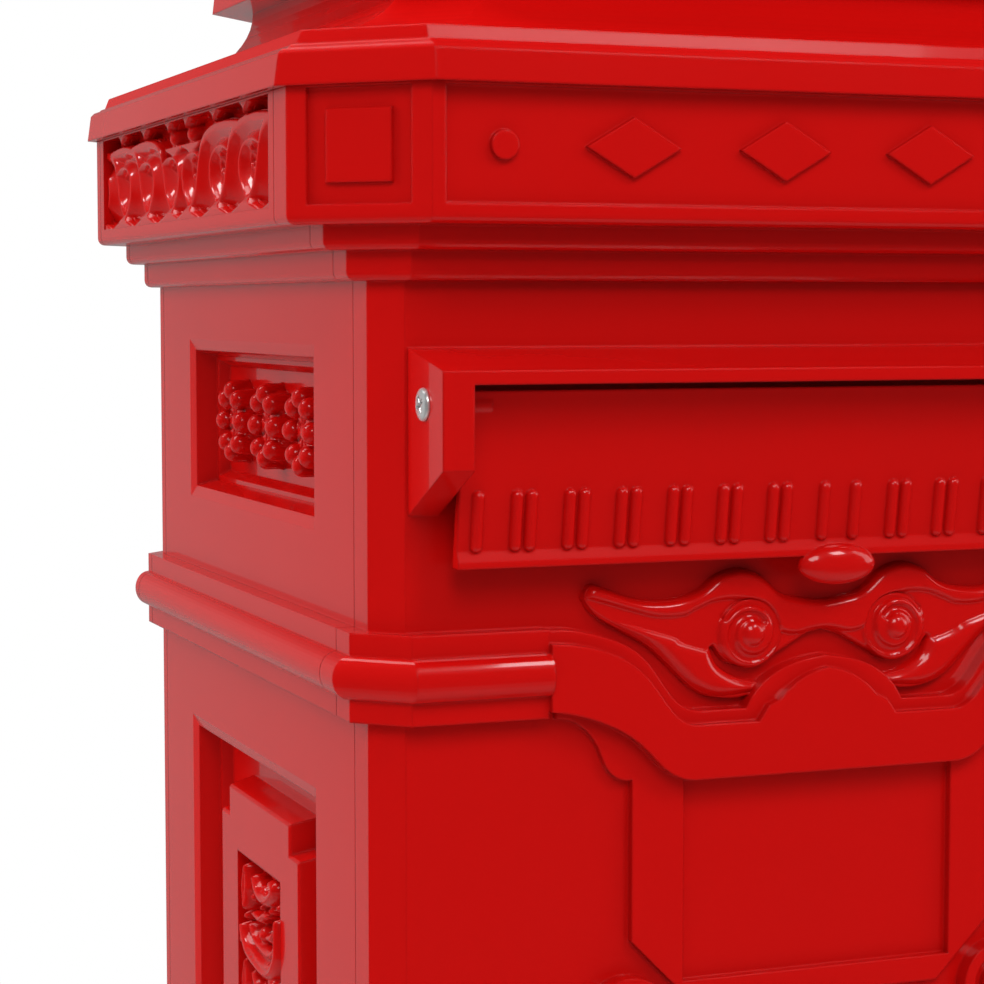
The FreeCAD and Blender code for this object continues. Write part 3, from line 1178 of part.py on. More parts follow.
def export(doc, nodes):
    """Check every object, then write each sub-part to its own file."""
    for item in doc.Objects:
        if any(word in item.State for word in ("Invalid", "Error")):
            raise RuntimeError(f"{item.Name} failed: {item.State}")
    os.makedirs("parts", exist_ok=True)
    for name, item in nodes.items():
        item.Label = name
        shape = item.Shape
        if shape.isNull() or not shape.isValid():
            raise RuntimeError(f"{name} has no valid shape")
        shape.exportStep(os.path.join("parts", name + ".step"))
        print(f"{name}: {len(shape.Solids)} solids, {len(shape.Faces)} faces, {shape.Volume:.0f} mm3")


main()
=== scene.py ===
"""Looks of a red cast pillar mailbox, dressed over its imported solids.

Sizes are millimetres and become metres where a mesh is made. X runs to the right of the front, Y backwards
and Z up, from the middle of the plinth's underside.
"""
from __future__ import annotations

import json
import logging
import math
from dataclasses import dataclass
from enum import Enum
from typing import Mapping, Sequence

import bpy
import numpy as np
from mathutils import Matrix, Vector

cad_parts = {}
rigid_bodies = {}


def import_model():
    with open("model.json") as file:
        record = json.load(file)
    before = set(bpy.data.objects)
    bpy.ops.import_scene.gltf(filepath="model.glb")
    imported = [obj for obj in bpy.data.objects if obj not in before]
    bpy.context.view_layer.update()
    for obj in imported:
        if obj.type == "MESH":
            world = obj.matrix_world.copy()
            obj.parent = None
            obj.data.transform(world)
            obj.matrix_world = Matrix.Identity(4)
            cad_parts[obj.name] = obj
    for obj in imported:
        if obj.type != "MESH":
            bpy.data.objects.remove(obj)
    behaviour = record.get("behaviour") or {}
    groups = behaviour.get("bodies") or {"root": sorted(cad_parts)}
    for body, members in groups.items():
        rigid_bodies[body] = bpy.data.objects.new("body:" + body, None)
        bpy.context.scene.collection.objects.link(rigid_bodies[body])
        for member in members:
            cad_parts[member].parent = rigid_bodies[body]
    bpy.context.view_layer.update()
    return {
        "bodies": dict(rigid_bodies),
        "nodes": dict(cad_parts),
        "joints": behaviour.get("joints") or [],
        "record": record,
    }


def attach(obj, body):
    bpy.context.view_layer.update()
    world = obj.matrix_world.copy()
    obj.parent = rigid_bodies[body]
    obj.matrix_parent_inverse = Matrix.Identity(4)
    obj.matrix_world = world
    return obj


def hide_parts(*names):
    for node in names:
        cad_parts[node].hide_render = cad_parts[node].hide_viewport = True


LOG = logging.getLogger("pillar_mailbox")
MM = 0.001
PILLAR = "pillar"
WHITE = (1.0, 1.0, 1.0, 1.0)
NOISE_MIDDLE = 0.5
FULL_TURN = 360.0
SPIRAL_POINTS = 14
SPIRAL_LEAST = 8

Point = tuple[float, float]
Colour = tuple[float, float, float]


class Slot(Enum):
    """Finishes that the record names."""

    RED_PAINT = "red_paint"
    MILL_ALUMINIUM = "mill_aluminium"
    ZINC_STEEL = "zinc_steel"
    CHROME = "chrome"


class Face(Enum):
    """Faces that carry ornament, each with its across and outward direction."""

    FRONT = ((1.0, 0.0, 0.0), (0.0, -1.0, 0.0))
    LEFT = ((0.0, -1.0, 0.0), (-1.0, 0.0, 0.0))
    RIGHT = ((0.0, -1.0, 0.0), (1.0, 0.0, 0.0))

    @property
    def across(self) -> np.ndarray:
        """Direction that an ornament's first coordinate runs in."""
        return np.array(self.value[0])

    @property
    def out(self) -> np.ndarray:
        """Direction that an ornament rises in."""
        return np.array(self.value[1])

    @property
    def turned(self) -> bool:
        """Whether across, up and out make a left-handed set."""
        return float(np.dot(np.cross(self.across, (0.0, 0.0, 1.0)), self.out)) < 0.0


SIDES = {"left": Face.LEFT, "right": Face.RIGHT}


def placed(name: str, data: bpy.types.ID) -> bpy.types.Object:
    """Put a new object into the scene.

    Args:
        name: Name of the object.
        data: Its mesh, lamp or camera.

    Returns:
        The new object.
    """
    item = bpy.data.objects.new(name, data)
    bpy.context.scene.collection.objects.link(item)
    return item


# Shader sheets

class Signal:
    """A shader socket that takes part in Python arithmetic."""

    def __init__(self, sheet: NodeSheet, socket: bpy.types.NodeSocket) -> None:
        """Wrap a socket of a sheet."""
        self.sheet = sheet
        self.socket = socket

    def _math(self, operation: str, left: Signal | float, right: Signal | float) -> Signal:
        """Add a Math node for two operands.

        Args:
            operation: Name of the Math node's operation.
            left: First operand.
            right: Second operand.

        Returns:
            The node's result.
        """
        return self.sheet.add("ShaderNodeMath", {"operation": operation}, {0: left, 1: right})

    def __add__(self, other: Signal | float) -> Signal:
        """Sum of two signals."""
        return self._math("ADD", self, other)

    def __radd__(self, other: float) -> Signal:
        """Sum with a number on the left."""
        return self._math("ADD", other, self)

    def __sub__(self, other: Signal | float) -> Signal:
        """Difference of two signals."""
        return self._math("SUBTRACT", self, other)

    def __rsub__(self, other: float) -> Signal:
        """Difference from a number."""
        return self._math("SUBTRACT", other, self)

    def __mul__(self, other: Signal | float) -> Signal:
        """Product of two signals."""
        return self._math("MULTIPLY", self, other)

    def __rmul__(self, other: float) -> Signal:
        """Product with a number on the left."""
        return self._math("MULTIPLY", other, self)

    def at_most(self, other: Signal | float) -> Signal:
        """The smaller of two signals."""
        return self._math("MINIMUM", self, other)

    def at_least(self, other: Signal | float) -> Signal:
        """The larger of two signals."""
        return self._math("MAXIMUM", self, other)

    def ramp(self, low: float, high: float) -> Signal:
        """A smooth step from 0 at one value to 1 at another.

        Args:
            low: Value that gives 0.
            high: Value that gives 1.

        Returns:
            The stepped signal.
        """
        return self.sheet.add("ShaderNodeMapRange", {"interpolation_type": "SMOOTHSTEP"},
                              {"Value": self, "From Min": low, "From Max": high})


class NodeSheet:
    """Nodes of one material or of the world."""

    def __init__(self, tree: bpy.types.NodeTree) -> None:
        """Take over a node tree and clear it.

        Args:
            tree: Tree of a material or a world.
        """
        self.tree = tree
        tree.nodes.clear()

    def node(self, kind: str, settings: Mapping[str, object],
             sockets: Mapping[int | str, object]) -> bpy.types.Node:
        """Add a node.

        Args:
            kind: Blender's name for the node's type.
            settings: Properties to set first.
            sockets: Values or signals for its inputs, by name or number.

        Returns:
            The new node.
        """
        node = self.tree.nodes.new(kind)
        for key, value in settings.items():
            setattr(node, key, value)
        for key, value in sockets.items():
            if isinstance(value, Signal):
                self.tree.links.new(value.socket, node.inputs[key])
            else:
                node.inputs[key].default_value = value
        return node

    def add(self, kind: str, settings: Mapping[str, object], sockets: Mapping[int | str, object],
            output: int | str = 0) -> Signal:
        """Add a node and hand back one of its outputs.

        Args:
            kind: Blender's name for the node's type.
            settings: Properties to set first.
            sockets: Values or signals for its inputs.
            output: Name or number of the output.

        Returns:
            That output as a signal.
        """
        return Signal(self, self.node(kind, settings, sockets).outputs[output])

    def blend(self, factor: Signal, low: Colour | Signal, high: Colour | Signal) -> Signal:
        """Mix two colours.

        Args:
            factor: 0 gives the first colour and 1 the second.
            low: First colour.
            high: Second colour.

        Returns:
            The mixed colour.
        """
        mix = self.node("ShaderNodeMix", {"data_type": "RGBA"}, {"Factor": factor})
        sides = [socket for socket in mix.inputs if socket.type == "RGBA"]
        for socket, colour in zip(sides, (low, high)):
            if isinstance(colour, Signal):
                self.tree.links.new(colour.socket, socket)
            else:
                socket.default_value = (*colour, 1.0)
        result = next(socket for socket in mix.outputs if socket.type == "RGBA")
        return Signal(self, result)

    def place(self) -> Signal:
        """The point of the surface in the piece's own frame."""
        return self.add("ShaderNodeTexCoord", {}, {}, "Object")

    def noise(self, size: float, detail: float) -> Signal:
        """Noise with features of about one size.

        Args:
            size: Size of the features in millimetres.
            detail: Octaves of finer noise.

        Returns:
            The noise, about 0 to 1.
        """
        return self.add("ShaderNodeTexNoise", {}, {"Vector": self.place(), "Scale": 1.0 / (size * MM),
                                                   "Detail": detail})

    def ray(self, kind: str) -> Signal:
        """1 for rays of one kind and 0 for others."""
        return self.add("ShaderNodeLightPath", {}, {}, kind)

    def bump(self, height: Signal, strength: float, depth: float, normal: Signal) -> Signal:
        """Bend a normal by a height.

        Args:
            height: Height over the surface, about 0 to 1.
            strength: How strongly it bends the normal.
            depth: Depth of a full height in millimetres.
            normal: Normal to bend.

        Returns:
            The bent normal.
        """
        return self.add("ShaderNodeBump", {}, {"Strength": strength, "Distance": depth * MM,
                                               "Height": height, "Normal": normal})

    def surface(self, shader: bpy.types.Node) -> None:
        """Send a shader to the output.

        Args:
            shader: Node whose first output is the finished shader.
        """
        of_world = isinstance(shader, bpy.types.ShaderNodeBackground)
        kind = "ShaderNodeOutputWorld" if of_world else "ShaderNodeOutputMaterial"
        self.node(kind, {}, {"Surface": Signal(self, shader.outputs[0])})


def fresh_material(name: str) -> tuple[bpy.types.Material, NodeSheet]:
    """Start a material with an empty sheet.

    Args:
        name: Name of the material.

    Returns:
        The material and its sheet.
    """
    material = bpy.data.materials.new(name)
    material.use_nodes = True
    return material, NodeSheet(material.node_tree)


# Finishes

@dataclass(frozen=True)
class RedEnamel:
    """Glossy red enamel over a casting: deep colour with painted shade in its hollows, clear coat, orange
    peel and softened edges.
    """

    face: Colour = (0.545, 0.0032, 0.0026)
    # The hollow colour, with its reach and share, is painted shade: the enamel turns darker where ambient
    # occlusion finds recesses.
    hollow: Colour = (0.40, 0.0018, 0.0016)
    hollow_reach: float = 6.0
    painted_shade_share: float = 0.6
    drift_share: float = 0.2
    rough: float = 0.24
    rough_spread: float = 0.08
    specular: float = 0.10
    ior: float = 1.45
    coat: float = 0.62
    coat_rough: float = 0.035
    coat_ior: float = 1.5
    edge_radius: float = 1.4
    samples: int = 6
    peel_size: float = 2.4
    peel_detail: float = 1.0
    peel_depth: float = 0.010
    peel_strength: float = 0.3
    swell_size: float = 46.0
    swell_detail: float = 3.0
    swell_depth: float = 0.09
    swell_strength: float = 0.35
    weathered_from: float = 908.2
    weathered_to: float = 932.0
    weathered_rise: float = 1.0
    weathered_fade: float = 6.0
    weathered_coat: float = 0.06

    def material(self) -> bpy.types.Material:
        """Build the enamel.

        Returns:
            The finished material.
        """
        material, sheet = fresh_material("red_enamel")
        # Painted shade: ambient occlusion darkens the colour in recesses, mixed with a random drift of
        # tone.
        open_sky = sheet.add("ShaderNodeAmbientOcclusion", {"samples": self.samples},
                             {"Distance": self.hollow_reach * MM}, "AO")
        swell = sheet.noise(self.swell_size, self.swell_detail)
        drift = swell - NOISE_MIDDLE
        painted_shade_and_drift = (1.0 - open_sky) * self.painted_shade_share + drift * self.drift_share
        colour = sheet.blend(painted_shade_and_drift.at_least(0.0).at_most(1.0), self.face, self.hollow)
        soft = sheet.add("ShaderNodeBevel", {"samples": self.samples}, {"Radius": self.edge_radius * MM})
        swelled = sheet.bump(swell, self.swell_strength, self.swell_depth, soft)
        peel = sheet.noise(self.peel_size, self.peel_detail)
        peeled = sheet.bump(peel, self.peel_strength, self.peel_depth, swelled)
        rough = self.rough + drift * self.rough_spread
        coat = self.coat - self.weathered(sheet) * (self.coat - self.weathered_coat)
        shader = sheet.node("ShaderNodeBsdfPrincipled", {}, {
            "Base Color": colour, "Roughness": rough, "Normal": peeled, "IOR": self.ior,
            "Specular IOR Level": self.specular, "Coat Weight": coat,
            "Coat Roughness": self.coat_rough, "Coat IOR": self.coat_ior})
        sheet.surface(shader)
        return material

    def weathered(self, sheet: NodeSheet) -> Signal:
        """Where rain and dust have dulled the coat, in the hollow curve of the roof.

        Args:
            sheet: Sheet of the enamel.

        Returns:
            1 on the dulled band of heights and 0 elsewhere.
        """
        height = sheet.add("ShaderNodeSeparateXYZ", {}, {0: sheet.place()}, "Z")
        above = height.ramp((self.weathered_from - self.weathered_rise) * MM, self.weathered_from * MM)
        below = 1.0 - height.ramp((self.weathered_to - self.weathered_fade) * MM, self.weathered_to * MM)
        return above * below


@dataclass(frozen=True)
class BareMetal:
    """A bare or plated metal: colour, grain drawn along one direction, and dulled patches."""

    name: str
    bright: Colour
    dull: Colour
    rough: float
    rough_spread: float
    grain_size: float
    grain_depth: float
    metallic: float
    patch_grains: float = 14.0
    patch_detail: float = 4.0
    patch_edge: tuple[float, float] = (0.35, 0.75)
    grain_stretch: tuple[float, float, float] = (1.0, 1.0, 0.12)
    grain_detail: float = 3.0
    grain_strength: float = 0.4
    edge_radius: float = 0.35
    samples: int = 4

    def material(self) -> bpy.types.Material:
        """Build the metal.

        Returns:
            The finished material.
        """
        material, sheet = fresh_material(self.name)
        patches = sheet.noise(self.grain_size * self.patch_grains, self.patch_detail)
        drawn = sheet.add("ShaderNodeMapping", {}, {"Vector": sheet.place(), "Scale": self.grain_stretch})
        grain = sheet.add("ShaderNodeTexNoise", {}, {"Vector": drawn, "Scale": 1.0 / (self.grain_size * MM),
                                                     "Detail": self.grain_detail})
        colour = sheet.blend(patches.ramp(*self.patch_edge), self.bright, self.dull)
        soft = sheet.add("ShaderNodeBevel", {"samples": self.samples}, {"Radius": self.edge_radius * MM})
        grained = sheet.bump(grain, self.grain_strength, self.grain_depth, soft)
        rough = self.rough + (patches - NOISE_MIDDLE) * self.rough_spread
        shader = sheet.node("ShaderNodeBsdfPrincipled", {}, {
            "Base Color": colour, "Roughness": rough, "Normal": grained, "Metallic": self.metallic})
        sheet.surface(shader)
        return material


MILL_ALUMINIUM = BareMetal(name="mill_aluminium", bright=(0.74, 0.75, 0.76), dull=(0.60, 0.61, 0.62),
                           rough=0.42, rough_spread=0.18, grain_size=1.1, grain_depth=0.012, metallic=0.85)
ZINC_PLATE = BareMetal(name="zinc_plate", bright=(0.80, 0.80, 0.79), dull=(0.58, 0.59, 0.60),
                       rough=0.24, rough_spread=0.22, grain_size=0.7, grain_depth=0.010, metallic=0.66)
CHROME_PLATE = BareMetal(name="chrome_plate", bright=(0.82, 0.82, 0.83), dull=(0.70, 0.70, 0.72),
                         rough=0.14, rough_spread=0.08, grain_size=0.9, grain_depth=0.003, metallic=0.62)


class FinishShelf:
    """The finished materials, one for each slot of the record."""

    def __init__(self) -> None:
        """Make every material once."""
        self.materials = {
            Slot.RED_PAINT: RedEnamel().material(),
            Slot.MILL_ALUMINIUM: MILL_ALUMINIUM.material(),
            Slot.ZINC_STEEL: ZINC_PLATE.material(),
            Slot.CHROME: CHROME_PLATE.material(),
        }

    def dress(self, piece: bpy.types.Object, slot: Slot) -> None:
        """Give a piece one finish all over.

        Args:
            piece: Mesh object to dress.
            slot: Finish that it takes.
        """
        piece.data.materials.clear()
        piece.data.materials.append(self.materials[slot])

    def dress_solids(self, frame: Mapping[str, object]) -> None:
        """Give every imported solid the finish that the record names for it.
        """
        for entry in frame["record"]["subparts"]:
            node = frame["nodes"][entry["node"]]
            for place in node.material_slots:
                place.material = self.materials[Slot(entry["material_slot"])]


# Carved ornament

def smooth_path(points: Sequence[Point], spacing: float) -> np.ndarray:
    """Run a smooth line through the points of a path.

    Args:
        points: Points that the line goes through.
        spacing: Distance between the line's own points.

    Returns:
        The line's points, with how far along the path each lies in a third column, from 0 to 1.
    """
    knots = np.asarray(points, dtype=float)
    padded = np.vstack((2 * knots[0] - knots[1], knots, 2 * knots[-1] - knots[-2]))
    pieces = []
    spans = len(knots) - 1
    for k in range(spans):
        before, start, end, after = padded[k:k + 4]
        steps = max(2, int(np.hypot(*(end - start)) / spacing) + 1)
        t = np.linspace(0.0, 1.0, steps, endpoint=False)[:, None]
        line = 0.5 * (2 * start + (end - before) * t + (2 * before - 5 * start + 4 * end - after) * t ** 2
                      + (3 * start - before - 3 * end + after) * t ** 3)
        pieces.append(np.hstack((line, (k + t) / spans)))
    pieces.append(np.hstack((knots[-1], [1.0]))[None, :])
    return np.vstack(pieces)


def spiral_path(centre: Point, outer: float, inner: float, start: float, turns: float) -> list[Point]:
    """Points of a spiral that winds inwards.

    Args:
        centre: Middle of the spiral.
        outer: Radius where it starts.
        inner: Radius where it ends.
        start: Angle where it starts, in degrees.
        turns: How many turns it makes; negative turns run clockwise.

    Returns:
        The spiral's points.
    """
    count = max(SPIRAL_LEAST, int(abs(turns) * SPIRAL_POINTS))
    points = []
    for k in range(count + 1):
        share = k / count
        angle = math.radians(start + FULL_TURN * turns * share)
        radius = outer + (inner - outer) * share
        points.append((centre[0] + radius * math.cos(angle), centre[1] + radius * math.sin(angle)))
    return points


def smooth_step(values: np.ndarray, low: float, high: float) -> np.ndarray:
    """A smooth step over an array.

    Args:
        values: Array of values.
        low: Value that gives 0.
        high: Value that gives 1.

    Returns:
        The stepped array.
    """
    share = np.clip((values - low) / (high - low), 0.0, 1.0)
    return share * share * (3.0 - 2.0 * share)


def shifted(points: Sequence[Point], across: float, up: float = 0.0) -> list[Point]:
    """A path moved across and up."""
    return [(point[0] + across, point[1] + up) for point in points]


def spread(values: Sequence[float], share: float) -> float:
    """A value from an evenly spread list, at a share of the way along it."""
    return float(np.interp(share, np.linspace(0.0, 1.0, len(values)), values))


def mirrored(points: Sequence[Point]) -> list[Point]:
    """A path turned over from left to right."""
    return [(-across, up) for across, up in points]


@dataclass
class Relief:
    """Carved ornament, worked out as heights over a flat ground.

    Attributes:
        name: Name of the piece.
        face: Face of the pillar that carries it.
        origin: Point of the ground where across and up are 0.
        low: Lowest across and up.
        high: Highest across and up.
        pitch: Distance between the heights.
        root: How far the bare ground lies below the surface that carries it.
    """

    name: str
    face: Face
    origin: tuple[float, float, float]
    low: Point
    high: Point
    pitch: float
    root: float = 0.8

    def __post_init__(self) -> None:
        """Lay out bare ground."""
        counts = [round((high - low) / self.pitch) + 1 for low, high in zip(self.low, self.high)]
        self.columns = np.linspace(self.low[0], self.high[0], counts[0])
        self.rows = np.linspace(self.low[1], self.high[1], counts[1])
        self.across, self.up = np.meshgrid(self.columns, self.rows)
        self.heights = np.full(self.across.shape, -self.root)

    def _window(self, centre: Point, reach: float) -> tuple[slice, slice]:
        """Rows and columns within reach of a point.

        Args:
            centre: Across and up of the point.
            reach: Distance to cover.

        Returns:
            A slice of the rows and one of the columns.
        """
        left, right = np.searchsorted(self.columns, (centre[0] - reach, centre[0] + reach))
        bottom, top = np.searchsorted(self.rows, (centre[1] - reach, centre[1] + reach))
        return slice(bottom, top), slice(left, right)

    def _bump(self, window: tuple[slice, slice], centre: Point, reach: float) -> np.ndarray:
        """A half-round bump of height 1 inside a window."""
        far = ((self.across[window] - centre[0]) ** 2 + (self.up[window] - centre[1]) ** 2) / reach ** 2
        return np.sqrt(np.clip(1.0 - far, 0.0, None))

    def plate(self, outline: Sequence[Point], relief: float, rounding: float, grow: float = 0.0) -> None:
        """Raise a flat plate with rounded edges.

        Args:
            outline: Corners of the plate's outline, in order.
            relief: Height of the plate.
            rounding: Radius of its rounded edge.
            grow: How far its foot stands outside the outline.
        """
        inside = self.depth_inside(outline) + grow
        rise = np.sqrt(np.clip(1.0 - (1.0 - np.clip(inside / rounding, 0.0, 1.0)) ** 2, 0.0, None))
        plate = np.where(inside > 0.0, rise * (relief + self.root) - self.root, -self.root)
        self.heights = np.maximum(self.heights, plate)

    def distance(self, line: Sequence[Point]) -> np.ndarray:
        """How far each point lies from a line.

        Args:
            line: Corners of the line, in order.

        Returns:
            Distances to the line.
        """
        corners = np.asarray(line, dtype=float)[:, :2]
        nearest = np.full(self.across.shape, np.inf)
        for start, end in zip(corners, corners[1:]):
            run = end - start
            length = float(np.dot(run, run))
            if length == 0.0:
                continue
            along = ((self.across - start[0]) * run[0] + (self.up - start[1]) * run[1]) / length
            share = np.clip(along, 0.0, 1.0)
            gap = np.hypot(self.across - start[0] - share * run[0], self.up - start[1] - share * run[1])
            nearest = np.minimum(nearest, gap)
        return nearest

    def depth_inside(self, outline: Sequence[Point]) -> np.ndarray:
        """How far each point lies inside an outline.

        Args:
            outline: Corners of the outline, in order.

        Returns:
            Distances to the outline, negative outside it.
        """
        corners = np.asarray(outline, dtype=float)[:, :2]
        closed = np.vstack((corners, corners[:1]))
        crossings = np.zeros(self.across.shape, dtype=int)
        for start, end in zip(closed, closed[1:]):
            if end[1] == start[1]:
                continue
            straddles = (start[1] > self.up) != (end[1] > self.up)
            at = start[0] + (self.up - start[1]) * (end[0] - start[0]) / (end[1] - start[1])
            crossings += straddles & (self.across < at)
        nearest = self.distance(closed)
        return np.where(crossings % 2 == 1, nearest, -nearest)

    def stroke(self, path: Sequence[Point], widths: Sequence[float], relief: float) -> None:
        """Raise a half-round ridge along a path.

        Args:
            path: Points that the ridge goes through.
            widths: Its half widths, spread evenly along the path.
            relief: Its height.
        """
        for across, up, share in smooth_path(path, self.pitch):
            self.dome((across, up), spread(widths, share), relief)

    def groove(self, path: Sequence[Point], widths: Sequence[float], depth: float) -> None:
        """Sink a half-round groove along a path.

        Args:
            path: Points that the groove goes through.
            widths: Its half widths, spread evenly along the path.
            depth: How deep it is.
        """
        cut = np.zeros(self.across.shape)
        for across, up, share in smooth_path(path, self.pitch):
            reach = spread(widths, share)
            window = self._window((across, up), reach)
            cut[window] = np.maximum(cut[window], depth * self._bump(window, (across, up), reach))
        self.heights -= cut

    def dome(self, centre: Point, radius: float, relief: float, ground: float = 0.0) -> None:
        """Raise a round boss.

        Args:
            centre: Middle of the boss.
            radius: Its radius.
            relief: Its height.
            ground: Height that it stands on.
        """
        window = self._window(centre, radius)
        bump = self._bump(window, centre, radius)
        boss = np.where(bump > 0.0, ground + relief * bump, -self.root)
        self.heights[window] = np.maximum(self.heights[window], boss)

    def piece(self) -> bpy.types.Object:
        """Turn the heights into a mesh, without the bare ground.

        Returns:
            The new object.
        """
        origin = np.array(self.origin)
        points = (origin + self.across[..., None] * self.face.across + self.up[..., None] * (0.0, 0.0, 1.0)
                  + self.heights[..., None] * self.face.out).reshape(-1, 3) * MM
        raised = self.heights > -self.root
        used = raised[:-1, :-1] | raised[1:, :-1] | raised[:-1, 1:] | raised[1:, 1:]
        wide = self.across.shape[1]
        row, column = np.nonzero(used)
        first = row * wide + column
        quads = np.stack((first, first + 1, first + wide + 1, first + wide), axis=1)
        if self.face.turned:
            quads = quads[:, ::-1]
        kept, quads = np.unique(quads, return_inverse=True)
        mesh = bpy.data.meshes.new(self.name)
        mesh.from_pydata(points[kept].tolist(), [], quads.reshape(-1, 4).tolist())
        mesh.polygons.foreach_set("use_smooth", [True] * len(mesh.polygons))
        return placed(self.name, mesh)


class Ornament:
    """Base of the carved pieces: each is built, dressed in red enamel and set to ride on the pillar."""

    def reliefs(self) -> list[Relief]:
        """The carved reliefs of this ornament."""
        raise NotImplementedError

    def build(self, shelf: FinishShelf) -> list[bpy.types.Object]:
        """Make and dress the pieces.

        Args:
            shelf: Finished materials.

        Returns:
            The new pieces.
        """
        pieces = []
        for relief in self.reliefs():
            piece = relief.piece()
            shelf.dress(piece, Slot.RED_PAINT)
            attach(piece, PILLAR)
            pieces.append(piece)
        return pieces


@dataclass
class SideOrnament(Ornament):
    """Base of the ornament that both sides carry, one relief each on a sunk ground."""

    side_x: float = 165.0
    sink: float = 0.0
    middle_y: float = 4.0
    pitch: float = 0.45

    STEM = ""

    def reliefs(self) -> list[Relief]:
        """One relief for each side."""
        return [self.side(f"{name}_{self.STEM}_carving", face) for name, face in SIDES.items()]

    def side(self, name: str, face: Face) -> Relief:
        """The carved relief of one side."""
        raise NotImplementedError

    def blank(self, name: str, face: Face, height: float, reach: Point) -> Relief:
        """Bare ground to carve on one side.

        Args:
            name: Name of the piece.
            face: Side of the pillar.
            height: Height of its middle.
            reach: How far it reaches across and up from there.

        Returns:
            The uncarved relief.
        """
        origin = (float(face.out[0]) * (self.side_x - self.sink), self.middle_y, height)
        return Relief(name, face, origin, (-reach[0], -reach[1]), reach, self.pitch)


@dataclass
class Crest(Ornament):
    """Winged crest over the belt: ribbons that roll into two volutes, a strap and two leaves."""

    front_y: float = -156.0
    belt_height: float = 698.3
    half_reach: float = 95.0
    foot: float = -15.0
    top: float = 36.0
    pitch: float = 0.45
    ground: float = 3.1
    raised: float = 4.9
    grow: float = 0.6
    rounding: float = 3.2
    leaf_rounding: float = 5.5
    volute: Point = (-28.7, 10.3)
    volute_radius: float = 12.4
    volute_relief: float = 3.6
    groove_depth: float = 1.5
    coil_start: float = 150.0
    coil_turns: float = -1.3
    coil_margin: float = 0.8
    coil_gap: float = 1.2
    coil_widths: tuple[float, ...] = (1.2, 1.9, 1.8, 1.4)
    outline_spacing: float = 1.0
    eye_radius: float = 4.8
    eye_ground: float = 5.0
    eye_relief: float = 3.8

    TOP = ((-91.6, 24.8), (-89.2, 28.8), (-84.3, 27.8), (-73.4, 23.8), (-63.4, 22.5), (-54.4, 23.3),
           (-47.3, 25.7), (-41.0, 30.3), (-32.6, 32.5), (-24.3, 30.1), (-16.0, 23.4), (-8.0, 21.2),
           (0.0, 20.3), (8.0, 21.2))
    STRAP_UNDER = ((8.0, 8.4), (0.0, 10.3), (-5.0, 9.5), (-11.5, 6.2), (-20.5, 1.5), (-29.5, -1.0),
                   (-37.5, 0.8), (-41.0, 4.4))
    SLIT = ((-41.0, 4.4), (-42.4, 6.4), (-44.0, 5.6))
    LEAF_INNER = ((-44.0, 5.6), (-40.5, -1.2), (-32.8, -5.9), (-25.2, -7.6))
    LEAF_OUTER = ((-26.4, -11.1), (-40.5, -12.0), (-49.6, -8.6), (-56.2, -3.0), (-66.9, 7.0), (-77.3, 13.1),
                  (-88.2, 19.9), (-91.6, 24.8))
    RIBBON_UNDER = ((8.0, 9.4), (0.0, 10.3), (-5.0, 9.7), (-11.0, 8.6), (-17.5, 10.2), (-22.1, 14.7),
                    (-25.7, 18.6), (-30.9, 21.4), (-37.1, 22.0), (-43.2, 21.2), (-49.3, 18.9),
                    (-54.3, 16.9), (-63.4, 16.8), (-71.9, 18.8), (-91.6, 24.8))
    LEAF_TOP = ((-91.6, 24.8), (-82.0, 18.4), (-67.4, 14.0), (-57.3, 10.8), (-54.3, 8.8), (-47.9, 6.7),
                (-44.0, 5.6))

    def outline(self, *lines: Sequence[Point]) -> list[Point]:
        """Join smooth lines into one outline."""
        smoothed = [smooth_path(line, self.outline_spacing) for line in lines]
        return [tuple(point[:2]) for line in smoothed for point in line]

    def reliefs(self) -> list[Relief]:
        """The crest as one relief, both wings together.

        Returns:
            The carved relief.
        """
        relief = Relief("crest_carving", Face.FRONT, (0.0, self.front_y, self.belt_height),
                        (-self.half_reach, self.foot), (self.half_reach, self.top), self.pitch)
        whole = self.outline(self.TOP, self.STRAP_UNDER, self.SLIT, self.LEAF_INNER, self.LEAF_OUTER)
        ribbon = self.outline(self.TOP, self.RIBBON_UNDER)
        leaf = self.outline(self.LEAF_TOP, self.LEAF_INNER, self.LEAF_OUTER)
        half_turn = FULL_TURN / 2
        left = (list, self.coil_turns, self.coil_start)
        right = (mirrored, -self.coil_turns, half_turn - self.coil_start)
        for side, turns, start in (left, right):
            centre = side([self.volute])[0]
            relief.plate(side(whole), self.ground, self.rounding / 2, self.grow)
            relief.plate(side(ribbon), self.raised, self.rounding, self.grow)
            relief.plate(side(leaf), self.raised, self.leaf_rounding, self.grow)
            relief.dome(centre, self.volute_radius, self.volute_relief, self.ground)
            coil = spiral_path(centre, self.volute_radius - self.coil_margin,
                               self.eye_radius + self.coil_gap, start, turns)
            relief.groove(coil, self.coil_widths, self.groove_depth)
            relief.dome(centre, self.eye_radius, self.eye_relief, self.eye_ground)
        return [relief]


